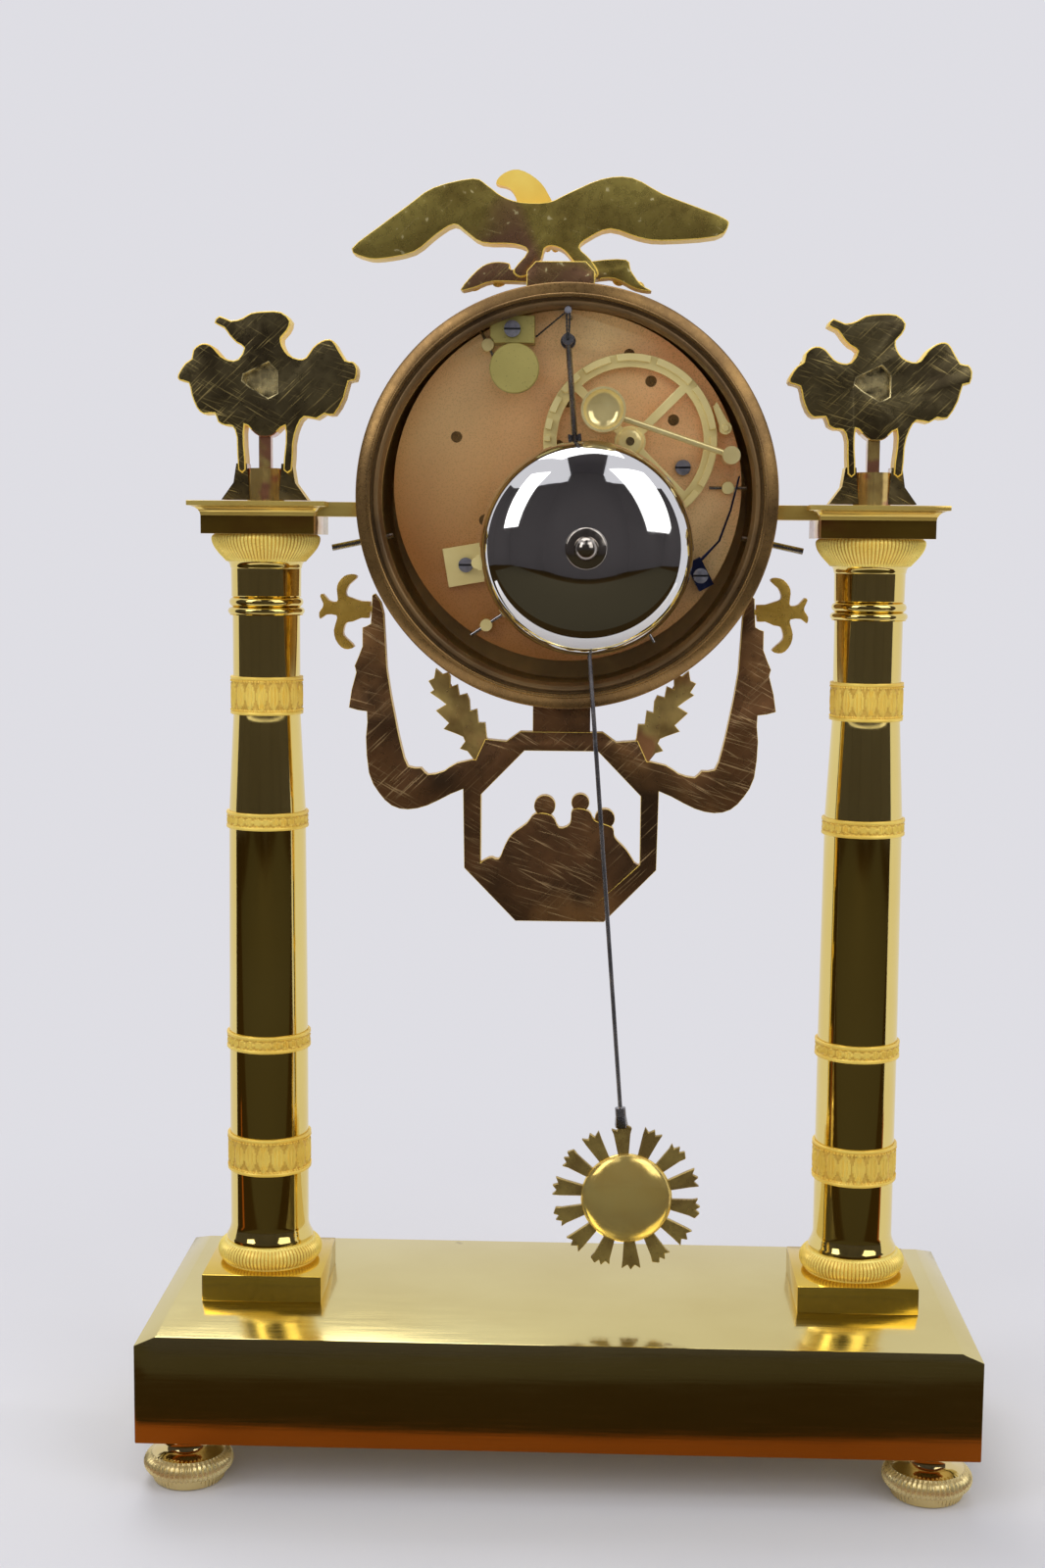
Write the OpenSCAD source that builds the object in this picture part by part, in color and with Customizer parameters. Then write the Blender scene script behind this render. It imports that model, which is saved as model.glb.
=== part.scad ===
// Portico clock: a drum movement carried between two columns on a plinth.
// Millimetres. The dial faces -Y, +Z is up, z = 0 is the surface that the feet stand on.

/* [Base] */
// Width of the plinth
base_w = 248; // [240:1:270]
// Depth of the plinth
base_d = 96; // [92:1:120]
// Height of the plinth without its feet
base_h = 32.8; // [24:0.2:44]
// Run of the shallow bevel on the front and the two ends
bevel_run = 6.3; // [3:0.1:9]
// Drop of the same bevel
bevel_drop = 2.8; // [1:0.1:4]
// Thickness of the plinth's side walls
base_wall = 3; // [2:0.5:4]
// Thickness of the plinth's top
base_top = 5; // [4:0.5:8]
// Thickness of the plate that closes the plinth below
base_plate_t = 3; // [2:0.5:5]
// Radius of the bosses that take the foot studs
boss_r = 6.5; // [5:0.5:8]

/* [Feet] */
// Largest radius of a bun foot
foot_r = 13.4; // [12:0.1:15]
// Height of a foot
foot_h = 16; // [14:0.5:20]
// Radius of the flat that a foot stands on
foot_flat_r = 10.5; // [8:0.5:11]
// Radius of the polished neck
foot_neck_r = 6.8; // [5:0.2:8]
// Radius of the collar under the plinth
foot_collar_r = 9.5; // [8:0.5:11]
// Distance from a foot's axis to the edges of the plinth
foot_inset = 13.4; // [13.4:0.2:20]
// Radius of a foot's threaded stud
foot_stud_r = 2.5; // [2:0.5:3]
// Length of the stud inside the boss
foot_stud_len = 12; // [8:1:14]

/* [Columns] */
// Distance of each column from the middle
column_x = 91; // [90:0.5:100]
// Width of the square block under a column
block_w = 36.7; // [34:0.1:40]
// Height of that block
block_h = 8.3; // [6:0.1:12]
// Radius of the milled base ring
ring_r = 16.3; // [15:0.1:18]
// Height of the base ring
ring_h = 6.9; // [5:0.1:9]
// Length of the polished shaft
shaft_h = 194.5; // [190:0.5:220]
// Radius of the shaft at the lower bands
shaft_r_low = 12.1; // [11.9:0.05:13]
// Radius of the shaft at the upper narrow band
shaft_r_mid = 11.7; // [10.6:0.05:11.8]
// Radius of the shaft at the upper wide band
shaft_r_top = 10.2; // [9:0.05:10.4]
// Flare of the shaft's foot
shaft_flare = 1.3; // [0.5:0.1:2]
// Radial thickness of the chased bands
band_t = 0.6; // [0.4:0.1:1.2]
// Height of a wide band
band_wide = 11.5; // [8:0.5:14]
// Height of a narrow band
band_narrow = 5.1; // [3:0.1:7]
// Lower edge of each band above the shaft's foot
band_low_wide_z = 22.4; // [16:0.1:26]
band_low_narrow_z = 61; // [52:0.5:70]
// Lower edge of each upper band below the shaft's top
band_high_narrow_drop = 64.8; // [60:0.1:74]
band_high_wide_drop = 30; // [22:0.5:38]
// Radius of the tie rod inside a column
rod_r = 2.5; // [2:0.1:3]
// Free room around the tie rod
rod_gap = 0.5; // [0.3:0.1:0.8]
// Height of the tie rod's hexagonal head
rod_head_h = 4; // [3:0.5:6]
// Radius of the tie rod's head over its corners
rod_head_r = 5.5; // [5:0.5:7]

/* [Capitals] */
// Radius of the collar under the capital's neck
collar_r = 12; // [11:0.1:13]
// Height of that collar
collar_h = 5.4; // [4:0.1:7]
// Radius of the capital's neck
neck_r = 10.6; // [9.5:0.1:11]
// Height of the neck
neck_h = 10.3; // [8:0.1:14]
// Upper radius of the swelling moulding
echinus_r = 16.4; // [15:0.1:16.6]
// Height of the swelling moulding
echinus_h = 8.6; // [6:0.1:12]
// Width of the square abacus
abacus_w = 33.5; // [33.4:0.1:36]
// Height of the abacus
abacus_h = 5.3; // [4:0.1:7]
// Width of the cornice slab
cornice_w = 40.6; // [38:0.1:46]
// Height of the cornice slab
cornice_h = 4.3; // [4:0.1:6]
// Plain edge at the top of the cornice
cornice_edge = 1.4; // [0.8:0.1:2]
// Depth of the arm from cornice to drum
arm_w = 20; // [18:1:24]

/* [Eagles] */
// Height of a side eagle above its cornice
eagle_h = 56.2; // [50:0.1:57.4]
// Spread of the top eagle's wings
top_eagle_w = 110.1; // [100:0.1:112]
// Thickness of the flat castings
eagle_t = 8; // [6:0.5:10]
// Radius of the eight-sided perch over its corners
perch_r = 5.6; // [5.2:0.1:6.4]
// Height of the perch
perch_h = 10; // [9:0.1:12]
// Depth of the thread in the perch
perch_thread = 8; // [6:0.5:8.5]
// Sideways place of the top eagle's saddle
saddle_x = 2.4; // [0:0.1:4]
// Width of the saddle
saddle_w = 19.8; // [18:0.1:22]
// Depth of the saddle
saddle_d = 14; // [12:0.5:16]
// Height of the saddle above the drum
saddle_h = 10; // [8:0.5:12]

/* [Drum] */
// Height of the drum's axis above the cornice
drum_rise = 1.5; // [0.5:0.1:1.8]
// Outer radius of the drum shell
drum_r = 58.8; // [58:0.1:60]
// Wall of the drum shell
drum_wall = 1.6; // [1.4:0.1:1.8]
// Place of the shell's front edge
drum_front_y = -38; // [-40:0.5:-38]
// Place of the shell's rear edge
drum_rear_y = 19; // [16:0.5:19.2]
// Outer radius of the turned rear rim
rim_r = 61.6; // [60.2:0.1:62]
// Inner radius of the rear rim
rim_bore = 54; // [53:0.5:55]
// Thickness of the rear rim
rim_t = 3; // [2.5:0.1:3.2]
// Length of the rim's seat inside the shell
rim_seat = 5; // [3:0.5:6]
// Outer radius of the front bezel
bezel_r = 61; // [60.2:0.1:63]
// Sight radius of the bezel
bezel_bore = 51; // [50:0.5:51.5]
// Thickness of the bezel
bezel_t = 5; // [4.5:0.1:6]
// Wall of the bezel's sleeve
sleeve_wall = 1.5; // [1.2:0.1:1.6]
// Place of the sleeve's rear end
sleeve_rear_y = 3; // [2:0.5:3.5]
// Thickness of the flange that carries the movement
flange_t = 1.5; // [1:0.1:2]
// Inner radius of that flange
flange_bore = 46; // [45:0.5:46.5]
// Radius of the pins through the drum's sides
drum_pin_r = 1; // [0.8:0.1:1.2]
// Slope of those pins below the horizontal
drum_pin_slope = 12; // [8:1:14]
// How far the pins stand out
drum_pin_out = 13.6; // [8:0.2:15]
// Radius of the screws that hold the case together
case_screw_r = 1.4; // [1.2:0.1:1.6]
// Place of the case screws along the drum
case_screw_y = 8; // [7:0.5:8.5]

/* [Pendant] */
// Width of the pendant over its finials
pendant_w = 145.6; // [138:0.2:148]
// Sideways place of the pendant
pendant_x = 0.9; // [0:0.1:1.4]
// Width of the octagon over its flats
octagon_w = 58.8; // [56:0.2:62]
// Centre of the octagon below the drum's axis
octagon_drop = 98.4; // [96:0.2:101]
// Thickness of the pendant
pendant_t = 5; // [4:0.5:6]
// Rear face of the pendant
pendant_rear_y = 10.5; // [10:0.5:12]
// Width of the neck between drum and octagon
pendant_neck_w = 17.2; // [14:0.2:18]

/* [Movement plates] */
// Height of the plates' centre above the drum's axis
plate_rise = 3.5; // [3:0.1:3.7]
// Room between the plates' edge and the sleeve
plate_room = 0.4; // [0.3:0.1:0.8]
// Thickness of each plate
plate_t = 2; // [1.8:0.1:2.2]
// Gap between the plates
plate_gap = 32; // [31.8:0.1:32.2]
// Inner face of the front plate
plate_front_y = -28; // [-28.2:0.1:-27.8]
// Radius of the pillars
pillar_r = 3; // [2.5:0.1:3.2]
// Distance of the pillars from the plates' centre
pillar_ring = 47.5; // [47.2:0.1:48]
// Radius of the pillars' riveted ends
tenon_r = 1.8; // [1.5:0.1:2]
// Length of a pillar's end behind the back plate
tenon_out = 3.2; // [3:0.1:3.6]
// Radius of the taper pins
taper_r = 0.5; // [0.4:0.05:0.6]
// Length of the taper pins
taper_len = 11; // [9:0.5:12]

/* [Trains] */
// Radius of the small pivots
pivot_r = 0.6; // [0.5:0.05:0.7]
// Running clearance of pivots and pipes
clear = 0.09; // [0.06:0.01:0.1]
// Slip of pieces that are fixed to each other
slip = 0.05; // [0.03:0.01:0.1]
// End shake of the arbors
end_shake = 0.3; // [0.2:0.05:0.4]
// Sideways distance of the barrels
barrel_x = 24.5; // [24.3:0.1:24.8]
// Drop of the barrels
barrel_drop = 6.5; // [6.3:0.1:6.8]
// Outer radius of a barrel
barrel_r = 17.5; // [16.5:0.1:17.7]
// Wall of a barrel
barrel_wall = 1.2; // [1:0.1:1.5]
// Radius of a winding arbor
winder_r = 2.5; // [2.2:0.1:2.6]
// Thickness of a mainspring
spring_t = 0.4; // [0.3:0.05:0.5]
// Turns of a mainspring
spring_turns = 6; // [4:1:8]
// Tooth module of the great wheels
great_m = 0.5; // [0.495:0.001:0.505]
// Tooth module of the second wheel
second_m = 0.42; // [0.415:0.001:0.425]
// Tooth module of the centre wheel
center_m = 0.36; // [0.355:0.001:0.365]
// Tooth module of the third wheel
third_m = 0.3; // [0.295:0.001:0.305]
// Height of the escape wheel above the centre
escape_z = 28.5; // [28.3:0.1:28.6]
// Tip radius of the escape wheel
escape_r = 11; // [10:0.1:11.1]
// Height of the pallet arbor above the centre
pallet_z = 45; // [44.8:0.1:45.6]
// Tooth module of the strike second wheel
strike_m = 0.36; // [0.355:0.001:0.365]
// Tooth module of the pin wheel
pin_m = 0.3; // [0.295:0.001:0.305]
// Tooth module of the locking wheel
lock_m = 0.28; // [0.275:0.001:0.285]
// Radius of the fly's blade
fly_r = 6; // [4:0.1:6.4]
// Outer radius of the count wheel
count_r = 25.6; // [24:0.1:25.8]
// Width of the count wheel's rim
count_rim = 4; // [3:0.1:5]

/* [Dial and hands] */
// Radius of the enamel dial
dial_r = 54; // [53:0.1:54.8]
// Thickness of the dial
dial_t = 1.5; // [1.2:0.1:1.8]
// Radius of the winding holes
winding_hole_r = 4.2; // [3:0.1:5]
// Length of the minute hand
minute_len = 44; // [38:0.5:47]
// Length of the hour hand
hour_len = 29; // [24:0.5:33]
// Thickness of the hands
hand_t = 0.8; // [0.6:0.1:0.9]
// Minutes past the hour at rest
minutes_at_rest = 8; // [0:1:59]

/* [Pendulum and bell] */
// Angle of the pendulum at rest from the vertical
swing_at_rest = 4.57; // [0:0.01:5]
// Plane in which the pendulum swings
pendulum_y = 23.5; // [23.4:0.1:23.6]
// Length from the suspension to the middle of the bob
pendulum_len = 253.8; // [240:0.2:256]
// Least room between the sunburst and the plinth
bob_gap = 6; // [4:0.5:10]
// Radius of the pendulum rod
pendulum_rod_r = 0.65; // [0.5:0.05:0.7]
// Radius of the sunburst's rays
ray_r = 22.5; // [20:0.1:24]
// Radius of the bob's dome
dome_r = 13.7; // [12:0.1:15]
// Rays of the sunburst
rays = 14; // [12:1:18]
// Length of the crutch
crutch_len = 28; // [27:0.1:28.4]
// Radius of the bell
bell_r = 30.6; // [29:0.1:30.8]
// Depth of the bell
bell_h = 15; // [13:0.1:15.4]
// Wall of the bell
bell_wall = 1.4; // [1.1:0.1:1.6]
// Mouth of the bell
bell_y = 27.8; // [27.6:0.1:28]
// Radius of the bell's stud
bell_stud_r = 1.8; // [1.6:0.1:2]
// Radius of the hammer's head
hammer_r = 6.4; // [6:0.1:6.6]
// Radius of the silk roller
roller_r = 7.2; // [6:0.1:7.4]

/* [Hidden] */
$fn = 64;
// Levels of the case
z_plinth = foot_h;
z_top = z_plinth + base_h;
// The blocks grow where a longer pendulum or a shorter shaft needs it
stack_h = ring_h + shaft_h + collar_h + neck_h + echinus_h + abacus_h + cornice_h + drum_rise + pallet_z;
pedestal_h = max(block_h, pendulum_len + ray_r + bob_gap - stack_h);
z_block = z_top + pedestal_h;
z_shaft = z_block + ring_h;
z_capital = z_shaft + shaft_h;
z_abacus = z_capital + collar_h + neck_h + echinus_h;
z_cornice = z_abacus + abacus_h + cornice_h;
drum_z = z_cornice + drum_rise;
band_high_narrow_z = shaft_h - band_high_narrow_drop;
band_high_wide_z = shaft_h - band_high_wide_drop;
foot_x = base_w / 2 - foot_inset;
foot_y = base_d / 2 - foot_inset;
rod_hole_r = rod_r + rod_gap;

// Drum, sleeve and plates
shell_r = drum_r - drum_wall;
sleeve_r = shell_r - 3 * slip;
sleeve_bore = sleeve_r - sleeve_wall;
plate_r = sleeve_bore - plate_room - plate_rise;
front_in = plate_front_y;
front_out = front_in - plate_t;
back_in = front_in + plate_gap;
back_out = back_in + plate_t;
dial_front_y = drum_front_y + 0.5;
dial_back_y = dial_front_y + dial_t;
plate_mid = [0, plate_rise];
pillar_spots = [for (a = [60, -60, 240, 180]) plate_mid + pillar_ring * [cos(a), sin(a)]];
taper_angles = [63, -34, 60, 0];
flange_screw_ring = 49.5;
flange_screw_angles = [20, 90, 160];
flange_screw_r = 1;
dial_foot_angles = [55, 180, 305];
dial_foot_r = 1.2;

// Tooth counts
great_n = 84;
second_n = 72;
center_n = 80;
third_n = 80;
escape_n = 36;
strike_n = 72;
pin_n = 80;
lock_n = 64;
leaf_low = 12;
leaf_high = 8;
cannon_n = 12;
minute_n = 36;
minute_leaf = 10;
hour_n = 40;
motion_m = 0.5;
hour_m = (cannon_n + minute_n) * motion_m / (minute_leaf + hour_n);

// Arbor places, x and height from the drum's axis
center_p = [0, 0];
going_p = [barrel_x, -barrel_drop];
strike_p = [-barrel_x, -barrel_drop];
escape_p = [0, escape_z];
pallet_p = [0, pallet_z];
second_p = meet(going_p, mesh_gap(great_n, leaf_low, great_m), center_p, mesh_gap(second_n, leaf_low, second_m));
third_p = meet(escape_p, mesh_gap(third_n, leaf_high, third_m), center_p, mesh_gap(center_n, leaf_high, center_m));
strike_second_p = strike_p + mesh_gap(great_n, leaf_low, great_m) * [cos(75.3), sin(75.3)];
pin_p = strike_second_p + mesh_gap(strike_n, leaf_high, strike_m) * [cos(152.7), sin(152.7)];
lock_p = pin_p + mesh_gap(pin_n, leaf_high, pin_m) * [cos(59), sin(59)];
fly_p = lock_p + mesh_gap(lock_n, leaf_high, lock_m) * [cos(49.8), sin(49.8)];
minute_p = [0, -mesh_gap(minute_n, cannon_n, motion_m)];
hammer_p = [-47.5, 12.5];
detent_p = [-46.3, 20.8];
roller_p = [15.5, 37.1];
cock_p = [16.3, 48.6];
bell_p = [-6, -14.6];
bell_foot_p = [29.1, -19.6];
bell_post_p = [25.5, -19];
bell_screw_p = bell_foot_p + [0.8, -0.2];
hammer_head_p = [-10.4, 24.7];
spring_foot_p = [-39.6, -22.3];
bridge_screw_p = [-34.2, 9.4];
silk_stud_p = [0, pallet_z + 8];

// Arbor radii
going_arbor_r = 1.2;
thin_arbor_r = 0.8;
fly_arbor_r = 0.7;
lever_arbor_r = 1;
center_arbor_r = 1.5;
cannon_r = 2.3;
hour_pipe_r = 3.4;
roller_arbor_r = 1.2;
winder_front_r = 2.2;
winder_back_r = 1.5;
ratchet_r = 8;
ratchet_n = 20;
ratchet_y = [front_out - 2.4, front_out - 0.6];
click_turn = 35.5;
click_reach = 12.9;
click_stud_r = 1;

// Motion work planes in front of the front plate
cannon_y = [front_out - 3.5, front_out - 1];
minute_y = [front_out - 2.8, front_out - 1.4];
minute_leaf_y = [front_out - 5.6, minute_y[0]];
hour_y = [front_out - 5.2, front_out - 3.8];
hour_hand_y = dial_front_y - 1.5 - hand_t;
minute_hand_y = hour_hand_y - 1 - hand_t;
cannon_front_y = minute_hand_y - 0.4;
minute_angle = 90 - 6 * minutes_at_rest;
hour_angle = 90 - 30 * (10 + minutes_at_rest / 60);

// Planes behind the back plate
count_y = [back_out + 3, back_out + 4.6];
count_raise = 2;
detent_y = [back_out + 3, back_out + 5];
crutch_y = back_out + 10;
hammer_wire_y = back_out + 14.5;
hammer_head_y = [back_out + 13.5, bell_y + 4.2];
roller_y = [back_out + 10, back_out + 13.5];
cock_rear_y = back_out + 9;
bell_arm_y = [pendulum_y + pendulum_rod_r + 0.8, bell_y - 0.5];
bell_top_y = bell_y + bell_h;
silk_r = 0.3;
silk_half = 1.5;

// Outline of a side eagle, x across and height above the cornice
eagle_drawn_h = 56.2;
eagle_pts = [
  [14.6, 52.7], [13.1, 54.8], [9.6, 53.4], [6.2, 54.2], [3.6, 55.7], [-0.7, 56.2], [-5.4, 56], [-8.2, 53.4],
  [-7.1, 50.3], [-5.4, 48.4], [-5.8, 46], [-7.5, 43.6], [-10.5, 42.3], [-12.7, 42.8], [-14.8, 45.7], [-17.4, 47.6],
  [-20, 48.1], [-21.7, 46.6], [-24.5, 42], [-26.8, 41.6], [-28.1, 39.5], [-27.5, 36.1], [-25.5, 35.7], [-24.2, 31],
  [-21.2, 25.9], [-18.2, 26.1], [-15.8, 24.6], [-12.2, 25.2], [-10.2, 22.4], [-8.9, 17.4], [-8.4, 9.5], [-5.8, 9.5],
  [-6.5, 17.4], [-6.3, 22.5], [-3.9, 20.7], [-2.2, 19.5], [1.3, 19.4], [3.8, 21.3], [5.7, 22.8], [5.9, 17],
  [5.5, 9.5], [7.8, 9.5], [8.2, 19], [9.5, 22.3], [11.6, 22.5], [13.8, 23.6], [14.8, 26.1], [18.1, 25.9],
  [20.2, 27.8], [21.7, 31.6], [22.5, 35], [25.3, 35.8], [25.7, 37.5], [23.5, 40.9], [21.6, 42.2], [21.1, 44.7],
  [19.2, 46.4], [17, 46.7], [14.9, 45.6], [12.7, 43.1], [10.2, 41.9], [7.6, 42.2], [5.8, 45.4], [8, 46.9],
  [10.1, 49], [11.8, 51.3]];
// Claw beside the perch, and the hollow in the back
claw_pts = [[4.4, 0.6], [13, 0.6], [9.3, 5.7], [8.4, 11.4], [5.2, 11.4]];
hollow_pts = [[6.3, 35.9], [5.9, 37.6], [-1.5, 41.2], [-4, 38.5], [-4, 32.2], [-1.4, 30.8], [3.8, 33.8]];
// Outline of the top eagle, x from its saddle and height from the axis of a drum of the drawn radius
drum_drawn_r = 58.8;
top_eagle_drawn_w = 110.1;
top_eagle_pts = [
  [61.5, 72.2], [53.2, 78.7], [44.9, 84.7], [37.5, 89.7], [26, 92.3], [21.8, 90.4], [17.5, 87.3], [12.1, 85.6],
  [4, 85.6], [-1.7, 88.1], [-11.5, 92.2], [-20.4, 92.6], [-29.3, 88.1], [-39.3, 84.4], [-47.1, 81.3], [-48.6, 79.3],
  [-45.1, 75.9], [-29.5, 74.7], [-22.4, 75.6], [-14.3, 78], [-8.2, 75.6], [-5.2, 72.8], [-8.6, 69.3], [-10.8, 65.2],
  [-8.3, 64.5], [-4, 68.3], [-0.8, 71.8], [2.5, 73.1], [4.9, 72.4], [5.8, 69.6], [9.5, 65.1], [12.4, 64.4],
  [13.8, 66.5], [9.8, 71.6], [14, 73.6], [23.1, 74], [28.1, 77.2], [31.5, 79.2], [36.7, 76.2], [43.1, 71.3],
  [52.4, 69.3], [57.6, 69.6]];
top_head_pts = [
  [1, 80], [12.4, 80], [13.2, 86.5], [15.4, 90.2], [19.4, 91.5], [17.2, 94.4], [12.8, 95.5], [7.6, 92.9], [4, 88.4]];
branch_left_pts = [
  [6, 67], [14.5, 66.4], [15.2, 68.2], [20.2, 68.5], [24.5, 66.4], [29.5, 60.6], [25.2, 61.2], [19.5, 63], [6, 63]];
branch_right_pts = [
  [-6, 67.4], [-9.7, 69], [-18.9, 69.4], [-20.4, 66.3], [-23.3, 62.4], [-26.5, 60.4], [-21.9, 61], [-17.6, 63.1],
  [-14, 64.1], [-6, 63.4]];
// Octagon of the pendant in half widths from its centre, right half
octagon_out = [
  [0.3, 0.99], [0.42, 0.99], [0.56, 0.89], [0.775, 0.908], [1, 0.41], [0.985, -0.42], [0.455, -0.965], [0, -0.965]];
octagon_in = [[0, 0.796], [0.374, 0.796], [0.816, 0.34], [0.816, -0.367], [0.374, -0.78], [0, -0.78]];
// Drapery swag of the pendant, x from its middle and height from the axis of a drum of the drawn radius
pendant_drawn_w = 145.6;
swag_pts = [
  [56.8, -29], [57.2, -37.4], [59.7, -38.6], [59.7, -44.2], [62.1, -50.1], [61.6, -52], [63.8, -62.6], [58.4, -63.7],
  [58.7, -71.5], [57.8, -82.3], [54.8, -88.2], [50.9, -92.1], [46, -93.2], [40.1, -91.9], [33.2, -88.4],
  [25.6, -84.6], [23, -78], [31.3, -79], [35.2, -81.5], [40.1, -82.6], [42.1, -80.6], [46, -80.2], [48, -74.3],
  [49.9, -65.5], [52.4, -50.9], [53.4, -34.5], [55.2, -29.7]];
// Oak sprig of the pendant
sprig_pts = [
  [25.4, -79], [28.2, -75.4], [30.5, -74.7], [28.9, -72.5], [29.5, -71.1], [31.3, -70.3], [35.4, -68.8], [33.8, -67],
  [37.7, -63.3], [34.6, -61.4], [36.7, -59.8], [39.5, -57.9], [38.3, -57.1], [40, -54.4], [38.3, -53.6],
  [37.8, -50.7], [35.8, -52.4], [34.2, -51.8], [33.4, -53], [33.5, -56.3], [31.3, -55.4], [30.7, -58.7],
  [28.5, -58.1], [27.6, -60], [27.4, -63.3], [25.4, -62.7], [24.9, -66.8], [22.9, -66.8], [22.4, -71.1], [19.4, -77]];
// Finial of the pendant, a lily laid on its side
finial_pts = [
  [54.6, -32.3], [57.4, -32.3], [57.5, -30.9], [60.1, -30.8], [63.1, -29.8], [64.6, -29.2], [64.7, -27.8],
  [63.8, -25.9], [61.6, -23.9], [61.9, -23], [63.4, -22.8], [65.3, -23.4], [67, -25.3], [67.5, -27.4], [67.2, -30.4],
  [68.1, -31.1], [70, -30.6], [71.7, -28.7], [72.5, -29.4], [71.6, -31.5], [71.8, -32.8], [72.8, -34.3],
  [72.5, -36.2], [70.7, -34.9], [67.6, -35.1], [67.7, -36.9], [68.4, -39.5], [67.9, -42.3], [66.2, -44.6],
  [64.2, -45.2], [62.3, -44.4], [63.8, -42.7], [65.5, -41], [65.5, -39.2], [64.7, -37.3], [62.7, -36.9],
  [60.1, -35.8], [57.8, -35.8], [57.4, -33.8], [54.6, -33.8]];
// Figure group in the lower half of the octagon, and its plain round heads
figure_pts = [
  [21.5, -107.6], [18.6, -108], [16.8, -104], [14.6, -100.4], [10.2, -97], [7.6, -94], [2.6, -94.6], [0.4, -98.2],
  [-2.8, -97], [-3.6, -92.6], [-8.4, -93], [-10.4, -96], [-15.6, -98], [-16.4, -101], [-19.8, -104.6],
  [-22.4, -108.6], [-24.4, -112], [-12, -123.6], [12, -123.6], [24.6, -112]];
head_spots = [[4.8, -91.7, 3.2], [-5.9, -90.6, 2.7], [-13.3, -95.4, 3]];

// Distance between the centres of a wheel and its pinion
function mesh_gap(n, leaves, m) = (n + leaves) * m / 2;

// Point at ra from a and rb from b, on the left of the way from a to b
function meet(a, ra, b, rb) =
  let (d = norm(b - a), u = (b - a) / d, s = (ra * ra - rb * rb + d * d) / (2 * d), h = sqrt(ra * ra - s * s))
  a + s * u + h * [-u[1], u[0]];

// Angle of a pinion's leaf on b that lets it mesh with a wheel on a whose first tooth lies at angle 0
function mesh_phase(a, b, n, leaves) =
  let (to_b = atan2(b[1] - a[1], b[0] - a[0]))
  to_b + 180 - (0.5 - to_b * n / 360) * 360 / leaves;

// Tooth outline: add and ded in modules, share is the tooth's part of the pitch
function teeth(n, m, add, ded, share, phase) =
  [for (i = [0 : n - 1]) for (c = [[-ded, -1], [0, -1], [add, -0.5], [add, 0.5], [0, 1], [-ded, 1]])
    let (r = n * m / 2 + c[0] * m, a = phase + 360 / n * (i + share / 2 * c[1])) r * [cos(a), sin(a)]];

// Outline scaled by k about the top (edge 1) or the bottom (edge -1) of the drum
function on_drum(pts, k, edge) = [for (p = pts) [k * p[0], edge * drum_r + k * (p[1] - edge * drum_drawn_r)]];

// Right half of an outline with its mirror image, which ends at the point numbered first
function both_halves(p, first) = concat(p, [for (i = [len(p) - 2 : -1 : first]) [-p[i][0], p[i][1]]]);

// Closed smooth curve through the given points
function curve(p, steps) =
  let (n = len(p))
  [for (i = [0 : n - 1]) for (k = [0 : steps - 1])
    let (t = k / steps, a = p[(i + n - 1) % n], b = p[i], c = p[(i + 1) % n], d = p[(i + 2) % n])
    0.5 * (2 * b + (c - a) * t + (2 * a - 5 * b + 4 * c - d) * t * t + (3 * b - a - 3 * c + d) * t * t * t)];

// Points on an arc about c
function arc(c, r, a0, a1, steps) =
  [for (k = [0 : steps]) let (a = a0 + (a1 - a0) * k / steps) c + r * [cos(a), sin(a)]];

// Extrudes a flat outline, drawn in x and height from the drum's axis, between two depths
module slab(y) {
  translate([0, y[1], drum_z]) rotate([90, 0, 0]) linear_extrude(y[1] - y[0]) children();
}

// Round bar along the depth at place p
module bar(p, y, r) {
  translate([p[0], y[0], drum_z + p[1]]) rotate([-90, 0, 0]) cylinder(h = y[1] - y[0], r = r);
}

// Turned body about an axis along the depth; the profile is drawn as radius and depth
module turned(p = [0, 0]) {
  translate([p[0], 0, drum_z + p[1]]) rotate([-90, 0, 0]) rotate_extrude($fn = 96) children();
}

// Radial bar from the drum's axis line at angle a, between two radii
module spoke_bar(a, y, r0, r1, r) {
  translate([0, y, drum_z]) rotate([0, -a, 0]) translate([r0, 0, 0]) rotate([0, 90, 0]) cylinder(h = r1 - r0, r = r);
}

// Copies its children to both columns
module both_columns() {
  for (s = [-1, 1]) translate([s * column_x, 0, 0]) children();
}

// Upright ring for a column, drawn as radius and height, with the tie rod's hole
module column_turning(z) {
  both_columns() translate([0, 0, z]) rotate_extrude($fn = 96) children();
}

// Wheel with spokes at place p
module wheel(p, y, n, m, hub, spokes = 5) {
  rim_in = n * m / 2 - 0.85 * m - 1.6;
  slab(y) translate(p) difference() {
    polygon(teeth(n, m, 0.9, 0.85, 0.42, 0));
    difference() {
      circle(r = rim_in);
      circle(r = hub);
      for (i = [0 : spokes - 1]) rotate(i * 360 / spokes) translate([0, -0.8]) square([rim_in + 1, 1.6]);
    }
  }
}

// Pinion at place p, its leaves set to mesh with a wheel on place a
module pinion(p, y, leaves, m, a, n) {
  slab(y) translate(p) polygon(teeth(leaves, m, 0.45, 1.3, 0.36, mesh_phase(a, p, n, leaves)));
}

// Arbor between the plates with its two pivots
module arbor(p, r) {
  bar(p, [front_out, back_out], pivot_r);
  bar(p, [front_in + end_shake, back_in - end_shake], r);
}

// Cheese-head screw: head from y[1] forward, shank on to y[0]
module screw(p, y, head_r, head_h, shank_r) {
  difference() {
    bar(p, [y[1] - head_h, y[1]], head_r);
    translate([p[0] - head_r, y[1] - 0.5, drum_z + p[1] - 0.3]) cube([2 * head_r, 1, 0.6]);
  }
  bar(p, [y[0], y[1] - head_h], shank_r);
}

// Case

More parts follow.
